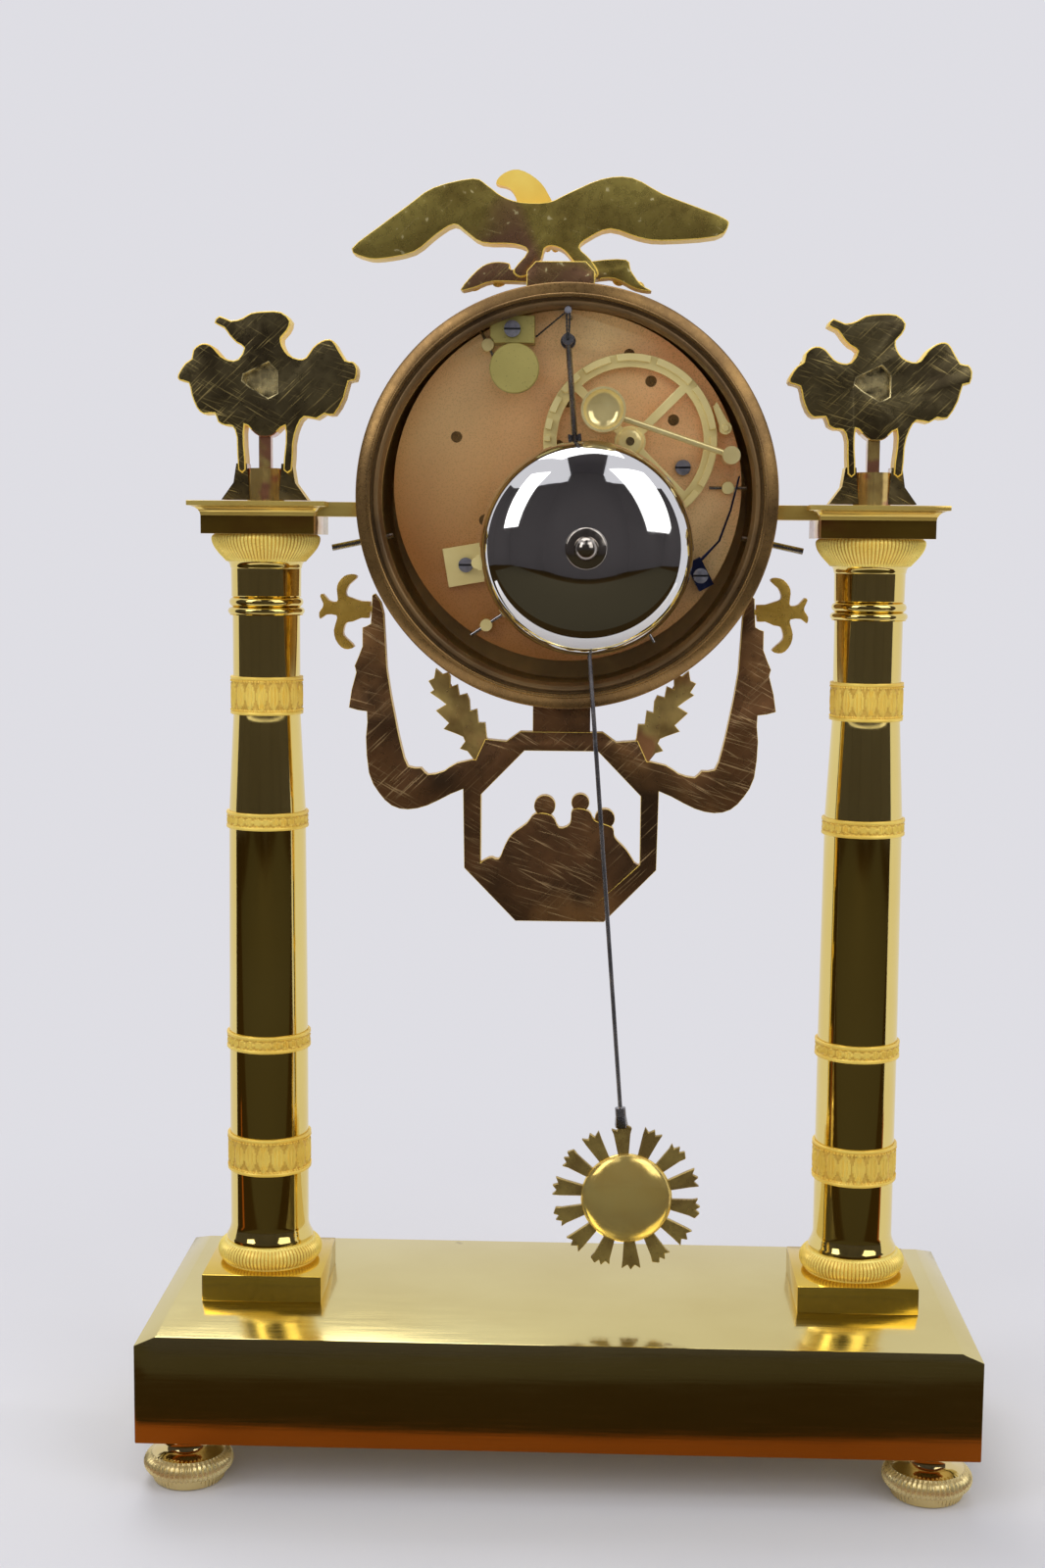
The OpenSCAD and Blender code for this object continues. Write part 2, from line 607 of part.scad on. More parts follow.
// Hollow plinth with shallow bevels at the front and the ends, open below
module base_plinth() {
  color("palegoldenrod") translate([0, 0, z_plinth]) difference() {
    intersection() {
      translate([0, base_d, 0]) rotate([90, 0, 0]) linear_extrude(2 * base_d) polygon([
        [-base_w / 2, 0], [base_w / 2, 0], [base_w / 2, base_h - bevel_drop], [base_w / 2 - bevel_run, base_h],
        [bevel_run - base_w / 2, base_h], [-base_w / 2, base_h - bevel_drop]]);
      rotate([90, 0, 90]) translate([0, 0, -base_w]) linear_extrude(2 * base_w) polygon([
        [-base_d / 2, 0], [base_d / 2, 0], [base_d / 2, base_h], [bevel_run - base_d / 2, base_h],
        [-base_d / 2, base_h - bevel_drop]]);
    }
    difference() {
      translate([base_wall - base_w / 2, base_wall - base_d / 2, -1])
        cube([base_w - 2 * base_wall, base_d - 2 * base_wall, base_h - base_top + 1]);
      for (x = [-foot_x, foot_x], y = [-foot_y, foot_y])
        translate([x, y, base_plate_t]) cylinder(h = base_h, r = boss_r);
    }
    for (x = [-foot_x, foot_x], y = [-foot_y, foot_y])
      translate([x, y, 0]) cylinder(h = base_plate_t + foot_stud_len + 1, r = foot_stud_r + slip);
    for (x = [-column_x, column_x]) translate([x, 0, 0]) cylinder(h = base_h + 1, r = rod_hole_r);
  }
}

// Plate that closes the plinth below, held by the foot studs
module base_plate() {
  color("darkgoldenrod") translate([0, 0, z_plinth]) difference() {
    translate([base_wall + 3 * slip - base_w / 2, base_wall + 3 * slip - base_d / 2, 0])
      cube([base_w - 2 * base_wall - 6 * slip, base_d - 2 * base_wall - 6 * slip, base_plate_t]);
    for (x = [-foot_x, foot_x], y = [-foot_y, foot_y])
      translate([x, y, -1]) cylinder(h = base_plate_t + 2, r = foot_stud_r + 3 * slip);
  }
}

// Turned bun foot with a waisted neck and a threaded stud
module foot() {
  bun_z = foot_h * 0.36;
  bun = arc([foot_flat_r, bun_z], foot_r - foot_flat_r, -60, 60, 6);
  neck_z = foot_h * 0.78;
  waist = arc([foot_neck_r + 3, neck_z], 3, 235, 125, 6);
  rotate_extrude($fn = 96) polygon(concat([[0, 0], [foot_flat_r, 0]], bun, waist,
    [[foot_collar_r, foot_h - 1], [foot_collar_r, foot_h], [0, foot_h]]));
  translate([0, 0, foot_h]) cylinder(h = base_plate_t + foot_stud_len, r = foot_stud_r);
}

module feet() {
  color("goldenrod") for (x = [-foot_x, foot_x], y = [-foot_y, foot_y]) translate([x, y, 0]) foot();
}

module column_blocks() {
  color("gold") both_columns() difference() {
    translate([-block_w / 2, -block_w / 2, z_top]) cube([block_w, block_w, pedestal_h]);
    translate([0, 0, z_top - 1]) cylinder(h = pedestal_h + 2, r = rod_hole_r);
  }
}

module column_base_rings() {
  side = arc([ring_r - ring_h * 0.45, ring_h * 0.45], ring_h * 0.45, -60, 70, 8);
  color("orange") column_turning(z_block) polygon(concat([[rod_hole_r, 0], [ring_r - 1.8, 0]], side,
    [[shaft_r_low + shaft_flare + 0.6, ring_h], [rod_hole_r, ring_h]]));
}

// Polished shaft with straight seats for the bands
module column_shafts() {
  color("gold") column_turning(z_shaft) polygon([
    [rod_hole_r, 0], [shaft_r_low + shaft_flare, 0], [shaft_r_low + shaft_flare, 1],
    [shaft_r_low + 0.3 * shaft_flare, 2.4], [shaft_r_low, 5],
    [shaft_r_low, band_low_narrow_z + band_narrow], [shaft_r_mid, band_high_narrow_z],
    [shaft_r_mid, band_high_narrow_z + band_narrow], [shaft_r_top, band_high_wide_z],
    [shaft_r_top, shaft_h], [rod_hole_r, shaft_h]]);
}

// One chased band with beaded borders
module band(z, r, h) {
  translate([0, 0, z_shaft + z]) rotate_extrude($fn = 96) polygon([
    [r + slip, 0], [r + 1.4 * band_t, 0], [r + 1.4 * band_t, 0.9], [r + band_t, 1.2], [r + band_t, h - 1.2],
    [r + 1.4 * band_t, h - 0.9], [r + 1.4 * band_t, h], [r + slip, h]]);
}

module column_bands() {
  color("orange") both_columns() {
    band(band_low_wide_z, shaft_r_low, band_wide);
    band(band_low_narrow_z, shaft_r_low, band_narrow);
    band(band_high_narrow_z, shaft_r_mid, band_narrow);
    band(band_high_wide_z, shaft_r_top, band_wide);
  }
}

// Capital: collar, neck and swelling moulding
module capitals() {
  neck_z = collar_h + neck_h;
  color("orange") column_turning(z_capital) polygon(concat(
    [[rod_hole_r, 0], [collar_r - 0.8, 0]], arc([collar_r - collar_h / 2, collar_h / 2], collar_h / 2, -70, 70, 8),
    [[neck_r, collar_h], [neck_r, neck_z - 0.8], [neck_r + 1.6, neck_z]],
    [for (k = [1 : 6]) [neck_r + 1.6 + (echinus_r - neck_r - 1.6) * sin(15 * k), neck_z + echinus_h * k / 7]],
    [[echinus_r, neck_z + echinus_h], [rod_hole_r, neck_z + echinus_h]]));
}

// Half profile of abacus and cornice, mirrored about the middle
function cornice_half() =
  let (flare = (cornice_w - abacus_w) / 2, rise = cornice_h - cornice_edge)
  concat([[abacus_w / 2, 0], [abacus_w / 2, abacus_h]],
    [for (k = [1 : 5]) [abacus_w / 2 + flare * (1 - cos(18 * k)), abacus_h + rise * sin(18 * k)]],
    [[cornice_w / 2, abacus_h + cornice_h]]);
function cornice_profile() =
  let (half = cornice_half(), n = len(half))
  concat(half, [for (i = [n - 1 : -1 : 0]) [-half[i][0], half[i][1]]]);

// Abacus, cavetto cornice and the arm that carries the drum, one for each column
module cornice(side) {
  difference() {
    translate([side * column_x, 0, z_abacus]) union() {
      intersection() {
        translate([0, cornice_w, 0]) rotate([90, 0, 0]) linear_extrude(2 * cornice_w) polygon(cornice_profile());
        rotate([90, 0, 90]) translate([0, 0, -cornice_w]) linear_extrude(2 * cornice_w) polygon(cornice_profile());
      }
      translate([side > 0 ? -column_x + drum_r / 2 : 0, -arm_w / 2, abacus_h])
        cube([column_x - drum_r / 2, arm_w, cornice_h]);
    }
    bar([0, 0], [-base_d, base_d], drum_r + slip);
    translate([side * column_x, 0, z_abacus - 1]) cylinder(h = abacus_h + cornice_h + 2, r = rod_hole_r);
    arm_screw_hole(side, case_screw_r + slip);
  }
}

// Height of the arm's middle from the drum's axis, and the hole for its screw
arm_mid = -drum_rise - cornice_h / 2;
arm_screw_len = 9;
module arm_screw_hole(side, r) {
  translate([side * (shell_r - 3), case_screw_y, drum_z + arm_mid]) rotate([0, side * 90, 0])
    cylinder(h = arm_screw_len + 4, r = r);
}

module cornices() {
  color("gold") for (s = [-1, 1]) cornice(s);
}

module tie_rods() {
  color("silver") both_columns() {
    translate([0, 0, z_top - base_top - rod_head_h]) cylinder(h = rod_head_h, r = rod_head_r, $fn = 6);
    translate([0, 0, z_top - base_top - 1])
      cylinder(h = z_cornice + perch_thread - z_top + base_top, r = rod_r);
  }
}

// Flat-backed casting on an eight-sided perch, hollowed behind
module side_eagle(side) {
  back_y = eagle_t * 0.4;
  k = eagle_h / eagle_drawn_h;
  translate([side * column_x, 0, z_cornice]) difference() {
    union() {
      translate([0, back_y, 0]) rotate([90, 0, 0]) linear_extrude(eagle_t) polygon(curve(k * eagle_pts, 2));
      for (m = [0, 1]) mirror([m, 0, 0]) translate([0, back_y - 0.4, 0]) rotate([90, 0, 0])
        linear_extrude(eagle_t - 0.8) polygon(k * claw_pts);
      cylinder(h = perch_h, r = perch_r, $fn = 8);
      translate([-1.8 * k, back_y - eagle_t * 0.75, perch_h - 1]) cube([3.6 * k, eagle_t / 2, 21 * k - perch_h]);
      intersection() {
        translate([0, back_y - eagle_t, 33 * k]) rotate_extrude($fn = 48)
          polygon(k * concat([[0, -12]], [for (a = [-75 : 15 : 75]) [8 * cos(a), 12.4 * sin(a)]], [[0, 12]]));
        translate([-60, back_y - 2 * eagle_t, 0]) cube([120, 2 * eagle_t, 80]);
      }
      translate([0, back_y - eagle_t + 1, 51.4 * k]) sphere(r = 4.2 * k);
    }
    translate([0, 0, -1]) cylinder(h = perch_thread + 1, r = rod_r + slip);
    translate([0, back_y + 1, 0]) rotate([90, 0, 0]) linear_extrude(eagle_t * 0.6 + 1) polygon(k * hollow_pts);
  }
}

module eagle_left() {
  color("peru") side_eagle(-1);
}

module eagle_right() {
  color("peru") side_eagle(1);
}

// Spread eagle with leafy branches, screwed to the top of the drum
module top_eagle() {
  back_y = case_screw_y - saddle_d / 2 + eagle_t;
  front_y = back_y - eagle_t;
  k = top_eagle_w / top_eagle_drawn_w;
  saddle_top = drum_r + saddle_h;
  color("peru") difference() {
    union() {
      slab([front_y, back_y]) translate([saddle_x, 0]) polygon(curve(on_drum(top_eagle_pts, k, 1), 3));
      slab([front_y - 0.6, front_y + eagle_t * 0.5]) translate([saddle_x, 0])
        polygon(curve(on_drum(top_head_pts, k, 1), 3));
      slab([front_y + 0.6, back_y - 0.6]) translate([saddle_x, 0]) polygon(curve(on_drum(branch_left_pts, k, 1), 3));
      slab([front_y + 0.6, back_y - 0.6]) translate([saddle_x, 0]) polygon(curve(on_drum(branch_right_pts, k, 1), 3));
      slab([case_screw_y - saddle_d / 2, case_screw_y + saddle_d / 2]) translate([saddle_x, 0]) polygon([
        [-saddle_w / 2, 0], [saddle_w / 2, 0], [saddle_w / 2, saddle_top - 3.6], [saddle_w / 2 - 2.6, saddle_top - 0.8],
        [2.6 - saddle_w / 2, saddle_top - 0.8], [-saddle_w / 2, saddle_top - 3.6]]);
      intersection() {
        translate([saddle_x + 2, front_y, drum_z + drum_r + 20.7 * k]) rotate_extrude($fn = 48)
          polygon(k * concat([[0, -6.4]], [for (a = [-75 : 15 : 75]) [7 * cos(a), 6.4 * sin(a)]], [[0, 6.4]]));
        translate([-60, back_y - 2 * eagle_t, drum_z]) cube([120, 2 * eagle_t, 120]);
      }
    }
    bar([0, 0], [-base_d, base_d], drum_r + slip);
    translate([saddle_x, case_screw_y, drum_z]) cylinder(h = shell_r + 8, r = case_screw_r + slip);
  }
}

// Screws from inside the drum: two arms, the eagle's saddle and the pendant's neck
module case_screw() {
  cylinder(h = 1.2, r = 2.2);
  cylinder(h = 8.5, r = case_screw_r);
}

module case_screws() {
  color("dimgray") {
    for (s = [-1, 1])
      translate([s * (sqrt(shell_r * shell_r - 30) - 1.2), case_screw_y, drum_z + arm_mid])
        rotate([0, s * 90, 0]) case_screw();
    translate([saddle_x, case_screw_y, drum_z + sqrt(shell_r * shell_r - 30) - 1.2]) case_screw();
    translate([0, case_screw_y, drum_z - sqrt(shell_r * shell_r - 30) + 1.2]) rotate([180, 0, 0]) case_screw();
  }
}

module drum_shell() {
  color("saddlebrown") difference() {
    bar([0, 0], [drum_front_y, drum_rear_y], drum_r);
    bar([0, 0], [drum_front_y - 1, drum_rear_y + 1], shell_r);
    drum_pin_holes();
    for (s = [-1, 1]) arm_screw_hole(s, case_screw_r + slip);
    translate([saddle_x, case_screw_y, drum_z]) cylinder(h = drum_r + 4, r = case_screw_r + slip);
    translate([0, case_screw_y, drum_z - drum_r - 4]) cylinder(h = drum_r + 4, r = case_screw_r + slip);
  }
}

// Turned rim pushed into the rear of the shell
module rear_rim() {
  y = drum_rear_y;
  color("sienna") turned() polygon(concat(
    [[sleeve_bore, y - rim_seat], [sleeve_r, y - rim_seat], [sleeve_r, y], [rim_r, y]],
    arc([rim_r - rim_t / 2, y + rim_t / 2], rim_t / 2, -40, 130, 8),
    [[rim_r - rim_t - 0.6, y + rim_t * 0.55], [rim_bore + 2.4, y + rim_t * 0.55]],
    arc([rim_bore + 1.2, y + rim_t * 0.6], 1.2, 0, 180, 6), [[rim_bore, y], [sleeve_bore, y - 1.2]]));
}

// Bezel with a sleeve inside the shell and a flange that carries the movement
module front_bezel() {
  y = drum_front_y;
  color("goldenrod") difference() {
    turned() polygon(concat(
      [[bezel_bore, y], [bezel_bore, y - 0.8]],
      arc([bezel_bore + bezel_t - 0.8, y - 0.8], bezel_t - 0.8, 180, 270, 6),
      arc([bezel_r - bezel_t * 0.6, y - bezel_t * 0.4], bezel_t * 0.6, 270, 360, 6),
      [[bezel_r, y], [sleeve_r, y], [sleeve_r, sleeve_rear_y], [sleeve_bore, sleeve_rear_y],
      [sleeve_bore, front_out], [flange_bore, front_out], [flange_bore, front_out - flange_t],
      [sleeve_bore, front_out - flange_t], [sleeve_bore, y]]));
    drum_pin_holes();
    for (a = flange_screw_angles)
      bar(flange_screw_ring * [cos(a), sin(a)], [front_out - flange_t - 1, front_out + 1], flange_screw_r + slip);
    for (a = dial_foot_angles)
      bar(flange_screw_ring * [cos(a), sin(a)], [front_out - flange_t - 1, front_out + 1], dial_foot_r + slip);
  }
}

// The pins through the drum's sides lock the bezel's sleeve to the shell
drum_pin_angles = [-drum_pin_slope, 180 + drum_pin_slope];
drum_pin_y = 0;
module drum_pin_holes() {
  for (a = drum_pin_angles) spoke_bar(a, drum_pin_y, plate_r, drum_r + 2, drum_pin_r + slip);
}

module taper_pins() {
  color("silver") {
    for (a = drum_pin_angles) spoke_bar(a, drum_pin_y, sleeve_bore - 2, drum_r + drum_pin_out, drum_pin_r);
    for (i = [0 : 3])
      translate([pillar_spots[i][0], back_out + tenon_out / 2, drum_z + pillar_spots[i][1]])
        rotate([0, -taper_angles[i], 0]) rotate([0, 90, 0]) cylinder(h = taper_len, r = taper_r, center = true);
  }
}

// Flat-backed pendant: octagon, neck, figure group, swags, sprigs and finials in one casting
module pendant_plaque() {
  half = octagon_w / 2;
  k = pendant_w / pendant_drawn_w;
  front = pendant_rear_y - pendant_t;
  color("chocolate") translate([pendant_x, 0, 0]) difference() {
    union() {
      slab([front, pendant_rear_y]) translate([0, -octagon_drop]) difference() {
        polygon(half * both_halves(octagon_out, 0));
        polygon(half * both_halves(octagon_in, 1));
      }
      slab([front + 0.4, pendant_rear_y - 0.4]) translate([-pendant_neck_w / 2, half - octagon_drop - 3])
        square([pendant_neck_w, octagon_drop - half - drum_r + 5]);
      slab([front + 0.8, pendant_rear_y - 0.2]) polygon(curve(on_drum(figure_pts, k, -1), 3));
      for (h = head_spots)
        bar(on_drum([[h[0], h[1]]], k, -1)[0], [front + 0.2, pendant_rear_y - 0.6], h[2] * k);
      for (m = [0, 1]) mirror([m, 0, 0]) {
        slab([front + 0.6, pendant_rear_y]) polygon(curve(on_drum(swag_pts, k, -1), 2));
        slab([front + 1, pendant_rear_y - 0.6]) polygon(on_drum(sprig_pts, k, -1));
        slab([front + 0.2, pendant_rear_y - 1]) polygon(curve(on_drum(finial_pts, k, -1), 2));
      }
    }
    translate([-pendant_x, 0, 0]) bar([0, 0], [-base_d, base_d], drum_r + slip);
    translate([-pendant_x, case_screw_y, drum_z - shell_r - 7.5]) cylinder(h = 12, r = case_screw_r + slip);
  }
}

// Dial, hands and motion work

module dial() {
  color("ivory") difference() {
    union() {
      bar(center_p, [dial_front_y, dial_back_y], dial_r);
      for (a = dial_foot_angles)
        bar(flange_screw_ring * [cos(a), sin(a)], [dial_back_y, front_out - 0.2], dial_foot_r);
    }
    bar(center_p, [dial_front_y - 1, dial_back_y + 1], hour_pipe_r + 0.6);
    for (p = [going_p, strike_p]) bar(p, [dial_front_y - 1, dial_back_y + 1], winding_hole_r);
  }
}

// Hand with a ring near its tip, drawn along x from the middle of the dial
module hand_outline(length, hub, w) {
  ring_x = length * 0.72;
  ring_r = length * 0.075;
  difference() {
    union() {
      circle(r = hub);
      polygon([[0, -w], [ring_x, -w * 0.6], [length, 0], [ring_x, w * 0.6], [0, w]]);
      translate([ring_x, 0]) circle(r = ring_r);
    }
    translate([ring_x, 0]) circle(r = ring_r * 0.62);
  }
}

module minute_hand() {
  color("midnightblue") difference() {
    slab([minute_hand_y, minute_hand_y + hand_t]) rotate(minute_angle) hand_outline(minute_len, 3.8, 1.1);
    bar(center_p, [minute_hand_y - 1, minute_hand_y + hand_t + 1], cannon_r + slip);
  }
}

module hour_hand() {
  color("midnightblue") difference() {
    slab([hour_hand_y, hour_hand_y + hand_t]) rotate(hour_angle) hand_outline(hour_len, 5, 1.4);
    bar(center_p, [hour_hand_y - 1, hour_hand_y + hand_t + 1], hour_pipe_r + slip);
  }
}

module cannon_pinion() {
  color("silver") difference() {
    union() {
      pinion(center_p, cannon_y, cannon_n, motion_m, minute_p, minute_n);
      bar(center_p, [cannon_front_y, cannon_y[1]], cannon_r);
    }
    bar(center_p, [cannon_front_y - 1, cannon_y[1] + 1], center_arbor_r + slip);
  }
}

module minute_wheel() {
  color("goldenrod") difference() {
    union() {
      wheel(minute_p, minute_y, minute_n, motion_m, 3.4, 3);
      pinion(minute_p, minute_leaf_y, minute_leaf, hour_m, center_p, hour_n);
      bar(minute_p, minute_leaf_y, click_stud_r + 0.6);
    }
    bar(minute_p, [minute_leaf_y[0] - 1, minute_y[1] + 1], click_stud_r + clear);
  }
}

module hour_wheel() {
  color("goldenrod") difference() {
    union() {
      wheel(center_p, hour_y, hour_n, hour_m, 5, 4);
      bar(center_p, [hour_hand_y - 0.3, hour_y[1]], hour_pipe_r);
    }
    bar(center_p, [hour_hand_y - 2, hour_y[1] + 1], cannon_r + clear);
  }
}

// Plates and frame

module plate_disc(y) {
  bar(plate_mid, y, plate_r);
}

module front_plate() {
  color("khaki") difference() {
    union() {
      plate_disc([front_out, front_in]);
      bar(minute_p, [minute_leaf_y[0] - 0.6, front_out + 1], click_stud_r);
      for (s = [-1, 1]) bar(click_pivot(s), [ratchet_y[0] - 0.4, front_out + 1], click_stud_r);
    }
    bar(center_p, [front_out - 1, front_in + 1], center_arbor_r + clear);
    for (p = [second_p, third_p, escape_p, pallet_p, strike_second_p, pin_p, lock_p, fly_p, hammer_p, detent_p])
      bar(p, [front_out - 1, front_in + 1], pivot_r + clear);
    for (p = [going_p, strike_p]) bar(p, [front_out - 1, front_in + 1], winder_front_r + clear);
    bar(roller_p, [front_out - 1, front_in + 1], roller_arbor_r + clear);
    for (p = pillar_spots) bar(p, [front_out - 1, front_in + 1], tenon_r + slip);
    for (a = flange_screw_angles)
      bar(flange_screw_ring * [cos(a), sin(a)], [front_out - 1, front_in + 1], flange_screw_r + slip);
  }
}

module back_plate() {
  color("khaki") difference() {
    plate_disc([back_in, back_out]);
    for (p = [center_p, second_p, third_p, escape_p, pin_p, lock_p, fly_p])
      bar(p, [back_in - 1, back_out + 1], pivot_r + clear);
    for (p = [pallet_p, hammer_p, detent_p]) bar(p, [back_in - 1, back_out + 1], lever_arbor_r + clear);
    bar(strike_second_p, [back_in - 1, back_out + 1], going_arbor_r + clear);
    bar(roller_p, [back_in - 1, back_out + 1], roller_arbor_r + clear);
    for (p = [going_p, strike_p]) bar(p, [back_in - 1, back_out + 1], winder_back_r + clear);
    for (p = pillar_spots) bar(p, [back_in - 1, back_out + 1], tenon_r + slip);
    for (p = [cock_p, bell_screw_p, spring_foot_p, bridge_screw_p])
      bar(p, [back_in - 1, back_out + 1], flange_screw_r + slip);
    bar(silk_stud_p, [back_in - 1, back_out + 1], flange_screw_r + slip);
  }
}

module pillars() {
  color("goldenrod") for (i = [0 : 3]) difference() {
    union() {
      bar(pillar_spots[i], [front_in, back_in], pillar_r);
      bar(pillar_spots[i], [front_out, back_out + tenon_out], tenon_r);
    }
    translate([pillar_spots[i][0], back_out + tenon_out / 2, drum_z + pillar_spots[i][1]])
      rotate([0, -taper_angles[i], 0]) rotate([0, 90, 0]) cylinder(h = taper_len, r = taper_r + slip, center = true);
  }
}

// Screws of the movement, and the stud that the silk hangs from
module movement_screws() {
  color("steelblue") {
    for (a = flange_screw_angles) mirror([0, 1, 0])
      screw(flange_screw_ring * [cos(a), sin(a)], [-front_in, flange_t - front_out + 1.2], 2, 1.2, flange_screw_r);
    screw(cock_p, [back_in, cock_rear_y + 1.4], 2.4, 1.4, flange_screw_r);
    screw(bell_screw_p, [back_in, back_out + 3.4], 2.2, 1.4, flange_screw_r);
    screw(spring_foot_p, [back_in, back_out + 9.4], 2.2, 1.4, flange_screw_r);
    screw(bridge_screw_p, [back_in, back_out + 1.4], 2.3, 1.4, flange_screw_r);
    bar(silk_stud_p, [back_in, pendulum_y + silk_half + 1], flange_screw_r);
  }
}

// Block that grips the silk, screwed to the back plate
module suspension_cock() {
  color("khaki") difference() {
    slab([back_out, cock_rear_y]) difference() {
      intersection() {
        translate(cock_p) translate([-6.5, -4]) square([13, 8]);
        circle(r = sleeve_bore - plate_room);
      }
      translate(pillar_spots[0]) circle(r = tenon_r + 2 * clear);
    }
    bar(cock_p, [back_out - 1, cock_rear_y + 1], flange_screw_r + slip);
  }
}

// One loop of silk round the stud and down to the pendulum's eye
module silk_loop(y) {
  r_in = flange_screw_r + slip;
  r_out = r_in + 2 * silk_r;
  drop = pallet_z - silk_stud_p[1];
  slab([y - silk_r, y + silk_r]) translate(silk_stud_p) difference() {
    union() {
      circle(r = r_out);
      for (m = [0, 1]) mirror([m, 0])
        polygon([[r_out, 0], [r_in, 0], [-silk_r, drop], [silk_r, drop]]);
    }
    circle(r = r_in);
  }
}

// Silk from the cock to the stud, with two loops joined by the stretch that the pendulum's eye turns on
module silk_thread() {
  near = pendulum_y - silk_half;
  far = pendulum_y + silk_half;
  a = [cock_p[0] - 6.5 - silk_r, cock_rear_y - 2, cock_p[1] - 2];
  b = [flange_screw_r + silk_r + slip, near, silk_stud_p[1]];
  d = b - a;
  color("black") union() {
    silk_loop(near);
    silk_loop(far);
    bar(pallet_p, [near, far], silk_r);
    translate([a[0], a[1], drum_z + a[2]])
      rotate([0, acos(d[2] / norm(d)), atan2(d[1], d[0])]) cylinder(h = norm(d), r = silk_r, $fn = 24);
  }
}

// Foot plate, post, arm behind the pendulum and the stud that holds the bell
module bell_stand() {
  along = bell_p - bell_post_p;
  color("darkkhaki") difference() {
    union() {
      slab([back_out, back_out + 2]) translate(bell_foot_p) rotate(-10) translate([-7, -5.8]) square([14, 11.6]);
      bar(bell_post_p, [back_out, bell_arm_y[1]], 1.7);
      slab(bell_arm_y) translate(bell_post_p) rotate(atan2(along[1], along[0])) translate([0, -2.2])
        square([norm(along), 4.4]);
      slab(bell_arm_y) translate(bell_p) circle(r = 3.2);
      bar(bell_p, [bell_arm_y[0], bell_top_y - bell_wall], 2.6);
      bar(bell_p, [bell_arm_y[0], bell_top_y + 3], bell_stud_r);
    }
    bar(bell_screw_p, [back_out - 1, back_out + 3], flange_screw_r + slip);
  }
}

// Thin bell, its mouth towards the plate
module bell() {
  steps = 12;
  outer = [for (k = [0 : steps - 1]) let (a = 90 * k / steps)
    [bell_r * pow(cos(a), 0.8), bell_y + 1.5 + (bell_h - 1.5) * sin(a)]];
  inner = [for (k = [steps - 1 : -1 : 0]) let (a = 90 * k / steps)
    [(bell_r - bell_wall) * pow(cos(a), 0.8), bell_y + 1.5 + (bell_h - bell_wall - 1.5) * sin(a)]];
  hole = bell_stud_r + slip;
  color("silver") turned(bell_p) polygon(concat([[bell_r - bell_wall, bell_y], [bell_r, bell_y]], outer,
    [[hole, bell_top_y], [hole, bell_top_y - bell_wall]], inner));
}

// Domed nut on a round washer
module bell_nut() {
  hole = bell_stud_r + slip;
  color("silver") turned(bell_p) polygon(concat([[hole, bell_top_y], [6, bell_top_y], [5.4, bell_top_y + 0.9],
    [3.6, bell_top_y + 1]], arc([0, bell_top_y + 1], 3.4, 0, 50, 5), [[hole, bell_top_y + 3.4]]));
}

// Blade that returns the hammer, on a block screwed to the back plate
module hammer_spring() {
  lean = 62;
  color("midnightblue") difference() {
    union() {
      slab([back_out, back_out + 8]) translate(spring_foot_p) rotate(lean) translate([-4, -2.4]) square([9, 4.8]);
      slab([back_out + 5, back_out + 8]) polygon(concat(
        [spring_foot_p + [1.4, 3.6]],
        plate_r * [[-0.8635, -0.2323], [-0.9255, -0.0581], [-0.9719, 0.1317]],
        plate_r * [[-0.9816, 0.1317], [-0.9371, -0.0581], [-0.8751, -0.2362]],
        [spring_foot_p + [0.6, 3.2]]));
    }
    bar(spring_foot_p, [back_out - 1, back_out + 9], flange_screw_r + slip);
  }
}

// Winding work, once for each barrel: side is 1 for going and -1 for strike

function click_pivot(side) =
  [side * (barrel_x + click_reach * cos(click_turn)), click_reach * sin(click_turn) - barrel_drop];

// Places a flat outline, drawn from the barrel's centre, on one side of the front plate
module beside_barrel(side, y) {
  slab(y) mirror([side > 0 ? 0 : 1, 0]) translate([barrel_x, -barrel_drop]) rotate(click_turn) children();
}

module click(side) {
  difference() {
    beside_barrel(side, ratchet_y) union() {
      translate([click_reach, 0]) circle(r = 2.4);
      polygon([[click_reach, -2.2], [click_reach + 1.7, 1.2], [8.2, 7.2], [6.66, 5.25], [click_reach - 1.7, 0.4]]);
    }
    bar(click_pivot(side), [ratchet_y[0] - 1, ratchet_y[1] + 1], click_stud_r + clear);
  }
}

module click_springs() {
  color("steelblue") for (s = [-1, 1]) union() {
    beside_barrel(s, ratchet_y) polygon([[18.6, 6.4], [9.8, 9.4], [9.9, 9.9], [18.8, 7]]);
    beside_barrel(s, [ratchet_y[0], front_out]) translate([19.4, 6.4]) circle(r = 1.5);
  }
}

module winding_arbor(side) {
  p = [side * barrel_x, -barrel_drop];
  square_w = 3;
  union() {
    bar(p, [front_out - 6.5, front_in + end_shake], winder_front_r);
    bar(p, [front_in + end_shake, back_in - end_shake], winder_r);
    bar(p, [front_in + 6, front_in + 19], winder_r * 2);
    bar(p, [back_in - end_shake - 1, back_out], winder_back_r);
    slab([dial_front_y - 2, front_out - 6]) translate(p) square(square_w, center = true);
    slab(ratchet_y) translate(p) polygon([for (i = [0 : ratchet_n - 1]) for (c = [[1.2, 0], [0, 0.1]])
      (ratchet_r - c[0]) * [side * cos(360 / ratchet_n * (i + c[1])), sin(360 / ratchet_n * (i + c[1]))]]);
  }
}

module barrel(side) {
  p = [side * barrel_x, -barrel_drop];
  difference() {
    union() {
      slab([front_in + 3, front_in + 5]) translate(p) polygon(teeth(great_n, great_m, 0.9, 0.85, 0.42, 0));
      bar(p, [front_in + 4, front_in + 22], barrel_r);
    }
    bar(p, [front_in + 5, front_in + 20.5], barrel_r - barrel_wall);
    bar(p, [front_in, back_in], winder_r + clear);
  }
}

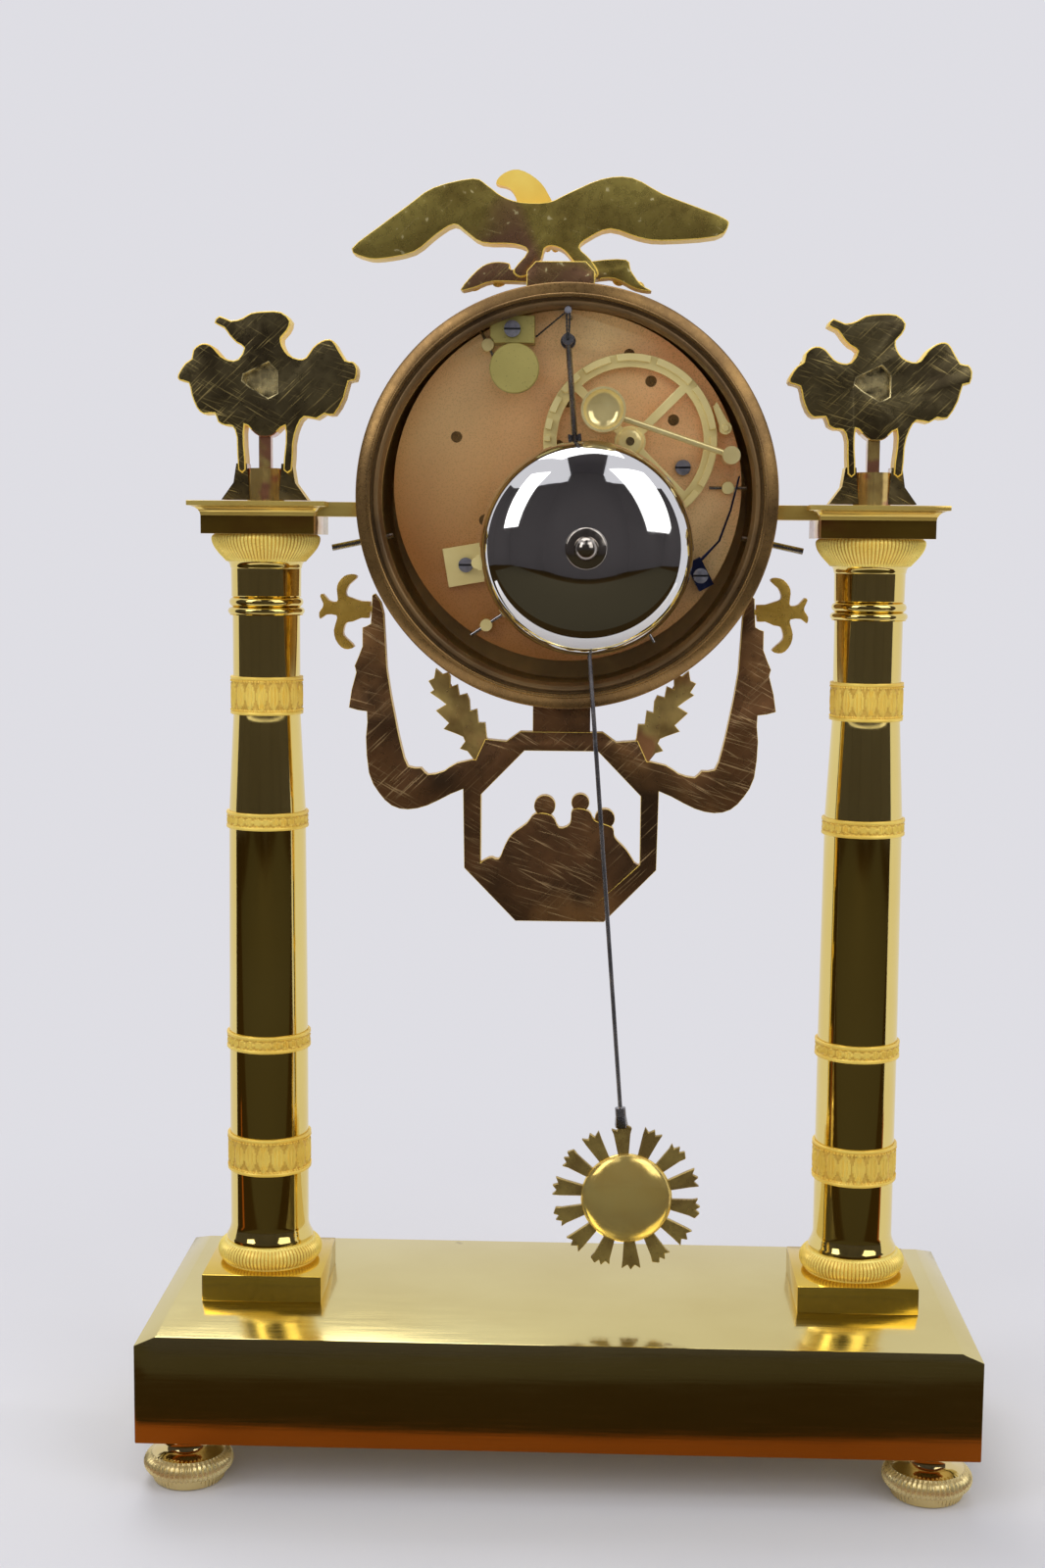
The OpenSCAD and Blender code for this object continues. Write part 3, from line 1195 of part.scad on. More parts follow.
// Spiral strip inside the barrel, hooked to its wall
module mainspring(side) {
  r_out = barrel_r - barrel_wall - 0.1;
  r_in = winder_r * 2 + 1;
  count = 20 * spring_turns;
  function spiral(k, shift) =
    let (a = 18 * k, r = r_out - (r_out - r_in) * k / count - shift) r * [cos(a), sin(a)];
  slab([front_in + 6, front_in + 19.5]) translate([side * barrel_x, -barrel_drop]) polygon(concat(
    [for (k = [0 : count]) spiral(k, 0)], [for (k = [count : -1 : 0]) spiral(k, spring_t)]));
}

module going_click() {
  color("steelblue") click(1);
}

module strike_click() {
  color("steelblue") click(-1);
}

module going_winding_arbor() {
  color("silver") winding_arbor(1);
}

module strike_winding_arbor() {
  color("silver") winding_arbor(-1);
}

module going_barrel() {
  color("goldenrod") barrel(1);
}

module strike_barrel() {
  color("goldenrod") barrel(-1);
}

module going_mainspring() {
  color("steelblue") mainspring(1);
}

module strike_mainspring() {
  color("steelblue") mainspring(-1);
}

// Going train

module second_wheel() {
  color("goldenrod") union() {
    arbor(second_p, going_arbor_r);
    pinion(second_p, [front_in + 2.5, front_in + 5.5], leaf_low, great_m, going_p, great_n);
    wheel(second_p, [front_in + 28, front_in + 29.5], second_n, second_m, 3.4);
  }
}

module center_wheel() {
  color("goldenrod") union() {
    bar(center_p, [cannon_front_y - 0.8, back_in - end_shake], center_arbor_r);
    bar(center_p, [back_in - 1, back_out], pivot_r);
    pinion(center_p, [front_in + 27.5, front_in + 30], leaf_low, second_m, second_p, second_n);
    wheel(center_p, [front_in + 24, front_in + 25.4], center_n, center_m, 3.4);
  }
}

module third_wheel() {
  color("goldenrod") union() {
    arbor(third_p, thin_arbor_r);
    pinion(third_p, [front_in + 23.5, front_in + 25.9], leaf_high, center_m, center_p, center_n);
    wheel(third_p, [front_in + 12, front_in + 13.5], third_n, third_m, 2.8);
  }
}

module escape_wheel() {
  root = escape_r - 1.5;
  color("goldenrod") union() {
    arbor(escape_p, thin_arbor_r);
    pinion(escape_p, [front_in + 11.5, front_in + 14], leaf_high, third_m, third_p, third_n);
    slab([front_in + 26.2, front_in + 27.2]) translate(escape_p) difference() {
      polygon([for (i = [0 : escape_n - 1]) for (c = [[root, 0], [escape_r, 0.1], [escape_r, 0.2], [root, 0.7]])
        c[0] * [cos(360 / escape_n * (i + c[1])), sin(360 / escape_n * (i + c[1]))]]);
      difference() {
        circle(r = root - 1.6);
        circle(r = 2.6);
        for (i = [0 : 3]) rotate(90 * i) translate([0, -0.7]) square([root, 1.4]);
      }
    }
  }
}

// Turns its children about the pallet arbor to the pendulum's place at rest
module swung() {
  translate([pallet_p[0], 0, drum_z + pallet_z]) rotate([0, swing_at_rest, 0])
    translate([-pallet_p[0], 0, -drum_z - pallet_z]) children();
}

// Pallet arbor with the anchor
module pallets() {
  tip = [0, escape_z];
  half = [[0, pallet_z + 2.6], tip + escape_r * [0.8545, 1.2182], tip + escape_r * [0.8182, 0.8545],
    tip + escape_r * [0.6636, 0.8818], tip + escape_r * [0.6727, 1.0909], [0, pallet_z - 2]];
  color("silver") swung() union() {
    bar(pallet_p, [front_out, front_in + 1], pivot_r);
    bar(pallet_p, [front_in + end_shake, crutch_y + 1.6], lever_arbor_r);
    slab([front_in + 26.2, front_in + 27.2]) for (m = [0, 1]) mirror([m, 0]) polygon(half);
  }
}

// Crutch with its collet and the fork that holds the pendulum rod
module crutch() {
  prong = pendulum_rod_r + 0.35;
  fork_z = drum_z + pallet_z - crutch_len;
  color("silver") swung() difference() {
    union() {
      bar(pallet_p, [crutch_y - 1.6, crutch_y + 1.6], lever_arbor_r + 1.2);
      translate([0, crutch_y, fork_z]) cylinder(h = crutch_len - 1.6, r = 0.9);
      translate([-prong - 0.9, crutch_y - 1, fork_z - 1]) cube([2 * prong + 1.8, pendulum_y - crutch_y + 2.2, 2]);
    }
    bar(pallet_p, [crutch_y - 3, crutch_y + 3], lever_arbor_r + slip);
    translate([-prong, pendulum_y - 3, fork_z - 2]) cube([2 * prong, 6, 4]);
  }
}

// Thin steel rod with an eye on the silk and a threaded socket for the bob
module pendulum_rod() {
  eye_r = 1.7;
  top = drum_z + pallet_z;
  color("dimgray") swung() difference() {
    union() {
      bar(pallet_p, [pendulum_y - 0.7, pendulum_y + 0.7], eye_r);
      translate([0, pendulum_y, top - pendulum_len + dome_r * 0.8])
        cylinder(h = pendulum_len - dome_r * 0.8 - 1.2, r = pendulum_rod_r);
      translate([0, pendulum_y, top - pendulum_len + ray_r]) cylinder(h = 5, r = 1.6);
    }
    bar(pallet_p, [pendulum_y - 2, pendulum_y + 2], silk_r + clear);
  }
}

// Sunburst bob: flared rays round a domed middle
module pendulum_bob() {
  c = [pallet_p[0], pallet_z - pendulum_len];
  step = 360 / rays;
  color("orange") swung() difference() {
    union() {
      slab([pendulum_y - 1.5, pendulum_y + 1.5]) translate(c) union() {
        circle(r = dome_r);
        for (i = [0 : rays - 1]) rotate(90 + i * step) polygon([
          [0, -1], [dome_r, -1.4], [ray_r - 1.6, -3.2], [ray_r - 2.6, -1.4], [ray_r, 0], [ray_r - 2.6, 1.4],
          [ray_r - 1.6, 3.2], [dome_r, 1.4], [0, 1]]);
      }
      turned(c) polygon(concat([[0, pendulum_y - 3]], [for (a = [0 : 10 : 80])
        [dome_r * cos(a), pendulum_y + 1 + 4.4 * sin(a)]], [[0, pendulum_y + 5.4]]));
    }
    translate([0, pendulum_y, drum_z + c[1] + dome_r * 0.8 - 1]) cylinder(h = ray_r, r = pendulum_rod_r + slip);
  }
}

// Strike train

module strike_second_wheel() {
  color("goldenrod") union() {
    bar(strike_second_p, [front_out, front_in + 1], pivot_r);
    bar(strike_second_p, [front_in + end_shake, count_y[1] + 2.4], going_arbor_r);
    pinion(strike_second_p, [front_in + 2.5, front_in + 5.5], leaf_low, great_m, strike_p, great_n);
    wheel(strike_second_p, [front_in + 28, front_in + 29.5], strike_n, strike_m, 3.4);
  }
}

// Count wheel: four spokes and raised stretches that grow with the hours
module count_wheel() {
  blow = 360 / 90;
  color("goldenrod") difference() {
    union() {
      slab(count_y) translate(strike_second_p) union() {
        difference() {
          circle(r = count_r);
          circle(r = count_r - count_rim);
        }
        for (i = [0 : 3]) rotate(45 + 90 * i) translate([0, -1.3]) square([count_r - 1, 2.6]);
        circle(r = 4.6);
      }
      slab([count_y[1] - 0.6, count_y[1] + count_raise]) translate(strike_second_p) for (h = [1 : 12])
        let (a0 = blow * (h - 1) * (h + 2) / 2, a1 = a0 + blow * (h - 0.15))
        polygon(concat(arc([0, 0], count_r - 0.2, a0, a1, h + 2),
          arc([0, 0], count_r - count_rim * 0.55, a1, a0, h + 2)));
      turned(strike_second_p) polygon([[0, count_y[1] - 0.6], [4, count_y[1] - 0.6], [4, count_y[1] + 0.6],
        [3.2, count_y[1] + 1.6],
        [1.8, count_y[1] + 2], [0, count_y[1] + 2]]);
    }
    bar(strike_second_p, [count_y[0] - 1, count_y[1] + 4], going_arbor_r + slip);
  }
}

module pin_wheel() {
  pin_ring = 10;
  color("goldenrod") union() {
    arbor(pin_p, thin_arbor_r);
    pinion(pin_p, [front_in + 27.5, front_in + 30], leaf_high, strike_m, strike_second_p, strike_n);
    wheel(pin_p, [front_in + 14, front_in + 15.5], pin_n, pin_m, 2.8);
    for (i = [0 : 9]) bar(pin_p + pin_ring * [cos(36 * i), sin(36 * i)], [front_in + 14.5, front_in + 18.7], 0.5);
  }
}

module locking_wheel() {
  color("goldenrod") union() {
    arbor(lock_p, thin_arbor_r);
    pinion(lock_p, [front_in + 13.5, front_in + 16], leaf_high, pin_m, pin_p, pin_n);
    wheel(lock_p, [front_in + 19, front_in + 20.2], lock_n, lock_m, 2.4);
    bar(lock_p + [7.6, 0], [front_in + 19.5, front_in + 22], 0.5);
  }
}

module fly() {
  color("khaki") union() {
    arbor(fly_p, fly_arbor_r);
    pinion(fly_p, [front_in + 18.5, front_in + 21], leaf_high, lock_m, lock_p, lock_n);
    slab([front_in + 5, front_in + 17]) translate(fly_p) square([2 * fly_r, 0.6], center = true);
    bar(fly_p, [front_in + 4, front_in + 18], fly_arbor_r + 0.5);
  }
}

// Hammer: arbor with lifting tail, collet, wire and a dished head
module hammer() {
  along = hammer_head_p - hammer_p;
  to_pins = pin_p - hammer_p;
  color("goldenrod") difference() {
    union() {
      bar(hammer_p, [front_out, front_in + 1], pivot_r);
      bar(hammer_p, [front_in + end_shake, hammer_wire_y + 1.6], lever_arbor_r);
      bar(hammer_p, [back_out + 4, hammer_wire_y + 1.8], 2.6);
      slab([front_in + 16, front_in + 18]) translate(hammer_p) rotate(atan2(to_pins[1], to_pins[0]))
        translate([0, -0.8]) square([8.5, 1.6]);
      translate([hammer_p[0], hammer_wire_y, drum_z + hammer_p[1]])
        rotate([0, 90 - atan2(along[1], along[0]), 0]) cylinder(h = norm(along) - hammer_r + 0.5, r = 0.9);
      bar(hammer_head_p, hammer_head_y, hammer_r);
    }
    turned(hammer_head_p) polygon(concat([[0, hammer_head_y[1] + 1], [hammer_r - 0.7, hammer_head_y[1] + 1],
      [hammer_r - 0.7, hammer_head_y[1]]], [for (k = [1 : 5]) [(hammer_r - 0.7) * cos(15 * k),
      hammer_head_y[1] - 3 * sin(18 * k)]], [[0, hammer_head_y[1] - 3]]));
  }
}

// Detent arbor with the finger that reads the count wheel
module detent_lever() {
  color("dimgray") union() {
    bar(detent_p, [front_out, front_in + 1], pivot_r);
    bar(detent_p, [front_in + end_shake, detent_y[1] + 0.6], lever_arbor_r);
    bar(detent_p, detent_y, 1.9);
    slab(detent_y) polygon([detent_p + [-1.5, 0.4], detent_p + [1.4, -0.6], detent_p + [3.8, 6.1],
      detent_p + [2.7, 7.6]]);
  }
}

// Disc that winds the silk up or down
module silk_roller() {
  color("khaki") union() {
    bar(roller_p, [front_out - 0.6, roller_y[1]], roller_arbor_r);
    bar(roller_p, roller_y, roller_r);
    bar(roller_p, [back_out + 1, roller_y[0] + 1], 3);
  }
}

base_plinth();
base_plate();
feet();
column_blocks();
column_base_rings();
column_shafts();
column_bands();
capitals();
cornices();
tie_rods();
eagle_left();
eagle_right();
top_eagle();
case_screws();
drum_shell();
rear_rim();
front_bezel();
taper_pins();
pendant_plaque();
dial();
front_plate();
back_plate();
pillars();
movement_screws();
suspension_cock();
silk_thread();
bell_stand();
bell();
bell_nut();
hammer_spring();
click_springs();
minute_hand();
cannon_pinion();
center_wheel();
hour_hand();
hour_wheel();
minute_wheel();
third_wheel();
escape_wheel();
second_wheel();
going_barrel();
going_mainspring();
strike_barrel();
strike_mainspring();
strike_second_wheel();
count_wheel();
pin_wheel();
locking_wheel();
fly();
pallets();
crutch();
pendulum_rod();
pendulum_bob();
hammer();
detent_lever();
silk_roller();
going_winding_arbor();
strike_winding_arbor();
going_click();
strike_click();
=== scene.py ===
import math

import bmesh
import bpy
from mathutils import Matrix, Vector


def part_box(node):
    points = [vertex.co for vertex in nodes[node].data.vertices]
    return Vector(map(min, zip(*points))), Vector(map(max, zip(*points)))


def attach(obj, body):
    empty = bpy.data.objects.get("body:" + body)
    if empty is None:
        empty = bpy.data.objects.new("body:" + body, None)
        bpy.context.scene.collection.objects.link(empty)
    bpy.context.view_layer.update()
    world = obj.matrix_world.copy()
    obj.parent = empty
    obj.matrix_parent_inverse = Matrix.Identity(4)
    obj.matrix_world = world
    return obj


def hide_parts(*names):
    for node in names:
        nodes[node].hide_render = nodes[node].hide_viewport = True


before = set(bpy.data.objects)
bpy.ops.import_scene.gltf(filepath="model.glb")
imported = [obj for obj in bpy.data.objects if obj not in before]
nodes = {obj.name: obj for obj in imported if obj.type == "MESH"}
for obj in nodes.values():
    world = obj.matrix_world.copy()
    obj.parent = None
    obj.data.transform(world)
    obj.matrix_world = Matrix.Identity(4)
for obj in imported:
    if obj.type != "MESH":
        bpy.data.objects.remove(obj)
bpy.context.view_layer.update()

# Table, room and camera. A pale sheet runs under the clock and fades into the pale room,
# tall soft lamps stand at both sides, and unlit cards shape what the polished metal mirrors.
scene = bpy.context.scene
scene.view_settings.view_transform = "Standard"
lens = bpy.data.cameras.new("photo_camera")
lens.sensor_fit = "VERTICAL"
lens.sensor_height = 36.0
lens.lens = 47.54
lens.clip_start = 0.01
camera = bpy.data.objects.new("photo_camera", lens)
camera.matrix_world = Matrix((
    (-0.99937469, 0.01207653, -0.03323241, -0.0082455),
    (-0.03440427, -0.11522247, 0.99274374, 0.627874),
    (0.00815978, 0.9932663, 0.11556591, 0.2807225),
    (0.0, 0.0, 0.0, 1.0)))
scene.collection.objects.link(camera)
scene.camera = camera
room_colour = (0.735, 0.73, 0.775, 1.0)


def combined(tree, operation, first, second):
    reckoned = tree.nodes.new("ShaderNodeMath")
    reckoned.operation = operation
    tree.links.new(first, reckoned.inputs[0])
    tree.links.new(second, reckoned.inputs[1])
    return reckoned.outputs["Value"]


def seen_rays(tree):
    rays = tree.nodes.new("ShaderNodeLightPath").outputs
    looked_at = combined(tree, "MAXIMUM", rays["Is Camera Ray"], rays["Is Glossy Ray"])
    return combined(tree, "MAXIMUM", looked_at, rays["Is Transmission Ray"])


def noise_over(tree, vector, scale, detail):
    cloud = tree.nodes.new("ShaderNodeTexNoise")
    cloud.inputs["Scale"].default_value = scale
    cloud.inputs["Detail"].default_value = detail
    tree.links.new(vector, cloud.inputs["Vector"])
    return cloud.outputs["Fac"]


def between(tree, value, low, high, low_to=0.0, high_to=1.0):
    steps = tree.nodes.new("ShaderNodeMapRange")
    steps.inputs["From Min"].default_value = low
    steps.inputs["From Max"].default_value = high
    steps.inputs["To Min"].default_value = low_to
    steps.inputs["To Max"].default_value = high_to
    tree.links.new(value, steps.inputs["Value"])
    return steps.outputs["Result"]


paper = bpy.data.materials.new("pale_paper")
paper.use_nodes = True
paper_tree = paper.node_tree
link_paper = paper_tree.links.new
paper_shader = paper_tree.nodes["Principled BSDF"]
paper_shader.inputs["Roughness"].default_value = 0.8
paper_place = paper_tree.nodes.new("ShaderNodeTexCoord").outputs["Object"]
paper_tone = paper_tree.nodes.new("ShaderNodeValToRGB")
paper_tone.color_ramp.elements[0].color = (0.72, 0.715, 0.75, 1.0)
paper_tone.color_ramp.elements[1].color = (0.75, 0.745, 0.78, 1.0)
link_paper(noise_over(paper_tree, paper_place, 9.0, 2.0), paper_tone.inputs["Fac"])
link_paper(paper_tone.outputs["Color"], paper_shader.inputs["Base Color"])
paper_far = paper_tree.nodes.new("ShaderNodeVectorMath")
paper_far.operation = "LENGTH"
link_paper(paper_place, paper_far.inputs[0])
fade_from, fade_to = 0.16, 0.42
paper_fade = between(paper_tree, paper_far.outputs["Value"], fade_from, fade_to)
paper_fade.node.interpolation_type = "SMOOTHSTEP"
paper_room = paper_tree.nodes.new("ShaderNodeEmission")
paper_room.inputs["Color"].default_value = room_colour
paper_mix = paper_tree.nodes.new("ShaderNodeMixShader")
link_paper(combined(paper_tree, "MULTIPLY", paper_fade, seen_rays(paper_tree)), paper_mix.inputs["Fac"])
link_paper(paper_shader.outputs["BSDF"], paper_mix.inputs[1])
link_paper(paper_room.outputs["Emission"], paper_mix.inputs[2])
link_paper(paper_mix.outputs["Shader"], paper_tree.nodes["Material Output"].inputs["Surface"])


def stage_sheet(name, corners, material):
    sheet = bmesh.new()
    sheet.faces.new([sheet.verts.new(c) for c in corners])
    mesh = bpy.data.meshes.new(name)
    sheet.to_mesh(mesh)
    sheet.free()
    mesh.materials.append(material)
    obj = bpy.data.objects.new(name, mesh)
    scene.collection.objects.link(obj)
    return obj


def level_sheet(x0, x1, y0, y1, z):
    return [(x0, y0, z), (x1, y0, z), (x1, y1, z), (x0, y1, z)]


stage_sheet("floor", level_sheet(-6, 6, -6, 6, 0), paper)


def unlit_card(name, colour):
    card = bpy.data.materials.new(name)
    card.use_nodes = True
    shader = card.node_tree.nodes["Principled BSDF"]
    shader.inputs["Base Color"].default_value = colour
    shader.inputs["Roughness"].default_value = 0.9
    shader.inputs["Specular IOR Level"].default_value = 0.0
    return card


dark_room = unlit_card("dark_room", (0.080, 0.072, 0.072, 1.0))
dark_table = unlit_card("dark_table", (0.030, 0.018, 0.006, 1.0))
amber_table = unlit_card("amber_table", (0.25, 0.07, 0.014, 1.0))
far_table = unlit_card("far_table", (0.050, 0.042, 0.025, 1.0))
pale_card = unlit_card("pale_card", (0.95, 0.94, 0.96, 1.0))
near_height, edge_height, far_height, bell_height = 0.001, 0.0012, 0.0014, 0.226
room_half, room_back, wall_height, room_height = 0.34, 1.5, 1.5, 1.8
wall_foot = [(-1.5, 0.2), (-1.25, 1.1), (-0.5, 1.55), (0.5, 1.55), (1.25, 1.1), (1.5, 0.3), (1.5, -0.25)]
table_line = [(-0.35, 0.05), (0.13, 0.05), (0.14, -0.008)] + wall_foot[::-1]
cards = {"table_edge": (amber_table, level_sheet(-0.5, 0.5, 0.05, 0.073, edge_height)),
         "table_card": (dark_table, [(x, y, near_height) for x, y in table_line]),
         "far_card": (far_table, level_sheet(-1.1, 1.1, 0.2, 1.2, far_height)),
         "bell_card": (pale_card, level_sheet(-0.15, 0.14, 0.028, 0.047, bell_height)),
         "room_ceiling": (dark_room, level_sheet(-room_half, room_half, 0.2, 1.55, room_height)),
         "room_centre": (dark_room, [(-room_half, room_back, 0.0), (room_half, room_back, 0.0),
                                     (room_half, room_back, room_height),
                                     (-room_half, room_back, room_height)])}
for k, (a, b) in enumerate(zip(wall_foot, wall_foot[1:])):
    cards[f"room_wall_{k}"] = (dark_room, [(*a, 0.0), (*b, 0.0), (*b, wall_height), (*a, wall_height)])
for name, (card, corners) in cards.items():
    sheet = stage_sheet(name, corners, card)
    sheet.visible_camera = False
    sheet.visible_diffuse = False
    sheet.visible_shadow = False
    sheet.visible_transmission = False

lamp_aim = Vector((0.0, 0.0, 0.2))
for name, place, size, watts in (
        ("lamp_left", (0.92, 0.76, 1.0), (0.5, 1.0), 4.0),
        ("lamp_right", (-0.88, 0.80, 1.02), (0.85, 1.2), 5.5),
        ("lamp_top", (0.1, -0.25, 1.5), (1.0, 1.0), 6.0),
        ("lamp_dial", (0.5, -1.0, 1.6), (0.8, 0.8), 6.0),
        ("lamp_fill", (0.1, 1.2, 0.55), (0.9, 0.9), 3.0)):
    lamp = bpy.data.lights.new(name, "AREA")
    lamp.shape = "RECTANGLE"
    lamp.size, lamp.size_y = size
    lamp.energy = watts
    lamp_object = bpy.data.objects.new(name, lamp)
    lamp_object.location = place
    lamp_object.rotation_euler = (lamp_aim - Vector(place)).to_track_quat("-Z", "Y").to_euler()
    lamp_object.visible_glossy = name != "lamp_fill"
    scene.collection.objects.link(lamp_object)

world = bpy.data.worlds.new("studio")
scene.world = world
world.use_nodes = True
sky = world.node_tree
sky_mix = sky.nodes.new("ShaderNodeMix")
sky_mix.data_type = "RGBA"
sky_mix.inputs["A"].default_value = (0.40, 0.40, 0.42, 1.0)
sky_mix.inputs["B"].default_value = room_colour
sky.links.new(seen_rays(sky), sky_mix.inputs["Factor"])
sky.links.new(sky_mix.outputs["Result"], sky.nodes["Background"].inputs["Color"])

# Plinth: a hollow box of satin pale brass with a shallow bevel at the front and the ends,
# closed below by a flat plate that the feet's studs hold in place.
mm = 0.001


def tinted(tree, share, under, over):
    tint = tree.nodes.new("ShaderNodeMix")
    tint.data_type = "RGBA"
    tree.links.new(share, tint.inputs["Factor"])
    tree.links.new(under, tint.inputs["A"])
    tint.inputs["B"].default_value = (*over, 1.0)
    return tint.outputs["Result"]


def patches(tree, place, colour, spread, detail):
    tint, scale, low, high = spread
    return tinted(tree, between(tree, noise_over(tree, place, scale, detail), low, high), colour, tint)


deep_below, pale_above, bump_height = 0.34, 0.62, 0.0002
scratch_leans, scratch_shape = (1.05, 1.3, -0.8), (1.0, 5.0, 36.0)


def metal_finish(name, pale, deep, patch, smooth, rough, grain, depth, stretch=(1.0, 1.0, 1.0), metal=1.0,
                 bloom_and_reflection=None, painted_shade=None, specks_and_glints=None, scratches=None):
    finish = bpy.data.materials.new(name)
    finish.use_nodes = True
    tree = finish.node_tree
    shader = tree.nodes["Principled BSDF"]
    shader.inputs["Metallic"].default_value = metal
    place = tree.nodes.new("ShaderNodeTexCoord").outputs["Object"]
    turn_to = tree.nodes.new("ShaderNodeMapping")
    turn_to.inputs["Scale"].default_value = stretch
    tree.links.new(place, turn_to.inputs["Vector"])
    tone = tree.nodes.new("ShaderNodeValToRGB")
    tone.color_ramp.elements[0].position = deep_below
    tone.color_ramp.elements[0].color = (*deep, 1.0)
    tone.color_ramp.elements[1].position = pale_above
    tone.color_ramp.elements[1].color = (*pale, 1.0)
    tree.links.new(noise_over(tree, place, patch, 5.0), tone.inputs["Fac"])
    colour = tone.outputs["Color"]
    marks = noise_over(tree, turn_to.outputs["Vector"], grain, 4.0)
    gloss = between(tree, marks, 0.3, 0.7, smooth, rough)
    # Noise patches of a second colour: tarnish bloom on some finishes, painted reflection on the abacus and
    # the back plate.
    if bloom_and_reflection:
        colour = patches(tree, place, colour, bloom_and_reflection, 2.0)
    # Painted shade: the colour turns to the tint along one direction across the part, standing in for how
    # light falls on it.
    if painted_shade:
        tint, heading, low, high = painted_shade
        way = tree.nodes.new("ShaderNodeVectorMath")
        way.operation = "DOT_PRODUCT"
        way.inputs[1].default_value = heading
        tree.links.new(place, way.inputs[0])
        colour = tinted(tree, between(tree, way.outputs["Value"], low, high), colour, tint)
    # Small spots of a second colour: dark tarnish specks on the plinth, painted glints on the top eagle's
    # back.
    if specks_and_glints:
        colour = patches(tree, place, colour, specks_and_glints, 3.0)
    for lean in (scratch_leans if scratches else ()):
        tint, scale, low, high = scratches
        lines = tree.nodes.new("ShaderNodeMapping")
        lines.vector_type = "TEXTURE"
        lines.inputs["Rotation"].default_value = (0.0, lean, 0.0)
        lines.inputs["Scale"].default_value = scratch_shape
        tree.links.new(place, lines.inputs["Vector"])
        strokes = between(tree, noise_over(tree, lines.outputs["Vector"], scale, 2.0), low, high)
        gaps = between(tree, noise_over(tree, place, 34.0 + 9.0 * lean, 1.0), 0.44, 0.6)
        colour = tinted(tree, combined(tree, "MULTIPLY", strokes, gaps), colour, tint)
    tree.links.new(colour, shader.inputs["Base Color"])
    tree.links.new(gloss, shader.inputs["Roughness"])
    relief = tree.nodes.new("ShaderNodeBump")
    relief.inputs["Strength"].default_value = depth
    relief.inputs["Distance"].default_value = bump_height
    tree.links.new(marks, relief.inputs["Height"])
    tree.links.new(relief.outputs["Normal"], shader.inputs["Normal"])
    return finish


def set_piece(bm, name, body, finishes, replaced=(), edge=32.0, turned=True):
    if turned:
        bmesh.ops.recalc_face_normals(bm, faces=bm.faces)
    for face in bm.faces:
        face.smooth = True
    mesh = bpy.data.meshes.new(name)
    bm.to_mesh(mesh)
    bm.free()
    mesh.set_sharp_from_angle(angle=math.radians(edge))
    for finish in finishes:
        mesh.materials.append(finish)
    piece = bpy.data.objects.new(name, mesh)
    scene.collection.objects.link(piece)
    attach(piece, body)
    if replaced:
        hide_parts(*replaced)
    return piece


def dress(finish, *names):
    for name in names:
        nodes[name].data.materials.clear()
        nodes[name].data.materials.append(finish)


def bevel(bm, edges, width, segments):
    bmesh.ops.bevel(bm, geom=edges, offset=width, segments=segments, profile=0.5, affect="EDGES", material=-1,
                    clamp_overlap=True)


def round_edges(bm, width, segments=2, angle=30.0):
    sharp = [e for e in bm.edges if len(e.link_faces) == 2 and e.calc_face_angle(0.0) > math.radians(angle)]
    bevel(bm, sharp, width, segments)


def push_out(bm, faces, way):
    grown = bmesh.ops.extrude_face_region(bm, geom=faces)["geom"]
    bmesh.ops.translate(bm, vec=way, verts=[g for g in grown if isinstance(g, bmesh.types.BMVert)])


plinth_brass = metal_finish(
    "plinth_brass", (0.82, 0.70, 0.31), (0.75, 0.62, 0.25), 14.0, 0.09, 0.22, 1500.0, 0.07, (0.03, 1.0, 1.0),
    specks_and_glints=((0.24, 0.15, 0.05), 46.0, 0.70, 0.75))
low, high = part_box("base_plinth")
bevel_run, bevel_drop, edge_round = 6.3 * mm, 2.8 * mm, 0.35 * mm
wall_thick, hollow_depth = 3.0 * mm, 24 * mm
plinth = bmesh.new()
for x in (low.x, high.x):
    for y in (low.y, high.y):
        plinth.verts.new((x, y, low.z))
        plinth.verts.new((x, y, high.z - (0.0 if y > 0 else bevel_drop)))
    inner = x - math.copysign(bevel_run, x)
    plinth.verts.new((inner, low.y + bevel_run, high.z))
    plinth.verts.new((inner, high.y, high.z))
for v in [v for v in plinth.verts if abs(v.co.z - high.z) < 1e-6 and abs(abs(v.co.x) - high.x) < 1e-6]:
    v.co.z -= bevel_drop
bmesh.ops.convex_hull(plinth, input=plinth.verts)
bmesh.ops.dissolve_limit(plinth, angle_limit=0.01, verts=plinth.verts, edges=plinth.edges)
round_edges(plinth, edge_round, 2, 8.0)
under = [f for f in plinth.faces if f.normal.z < -0.99]
bmesh.ops.inset_region(plinth, faces=under, thickness=wall_thick - edge_round)
push_out(plinth, under, (0, 0, hollow_depth))
bmesh.ops.delete(plinth, geom=under, context="FACES_ONLY")
set_piece(plinth, "plinth", "case", [plinth_brass], ["base_plinth"], 25.0)
plate_brass = metal_finish(
    "plate_brass", (0.80, 0.64, 0.28), (0.70, 0.52, 0.22), 22.0, 0.16, 0.26, 900.0, 0.03)
dress(plate_brass, "base_plate")


# Feet: turned buns with a milled edge below a waisted, polished neck.
# Their studs pass the base plate and screw into the plinth.
merge_gap = 1e-6


def turn(bm, outline, centre, axis, steps):
    centre = Vector(centre)
    along = Vector((0, 0, 1)) if axis == "Z" else Vector((0, 1, 0))
    if outline[0][0] > 0 and outline[0] != outline[-1]:
        outline = outline + outline[:1]
    verts = [bm.verts.new(centre + Vector((r * mm, 0, 0)) + along * (h * mm)) for r, h in outline]
    edges = [bm.edges.new(pair) for pair in zip(verts, verts[1:])]
    bmesh.ops.spin(bm, geom=verts + edges, cent=centre, axis=along, angle=math.tau, steps=steps,
                   use_merge=True)
    bmesh.ops.remove_doubles(bm, verts=bm.verts, dist=merge_gap)


def arc(cx, cy, r, start, end, steps):
    angles = [math.radians(start + (end - start) * k / steps) for k in range(steps + 1)]
    return [(cx + r * math.cos(a), cy + r * math.sin(a)) for a in angles]


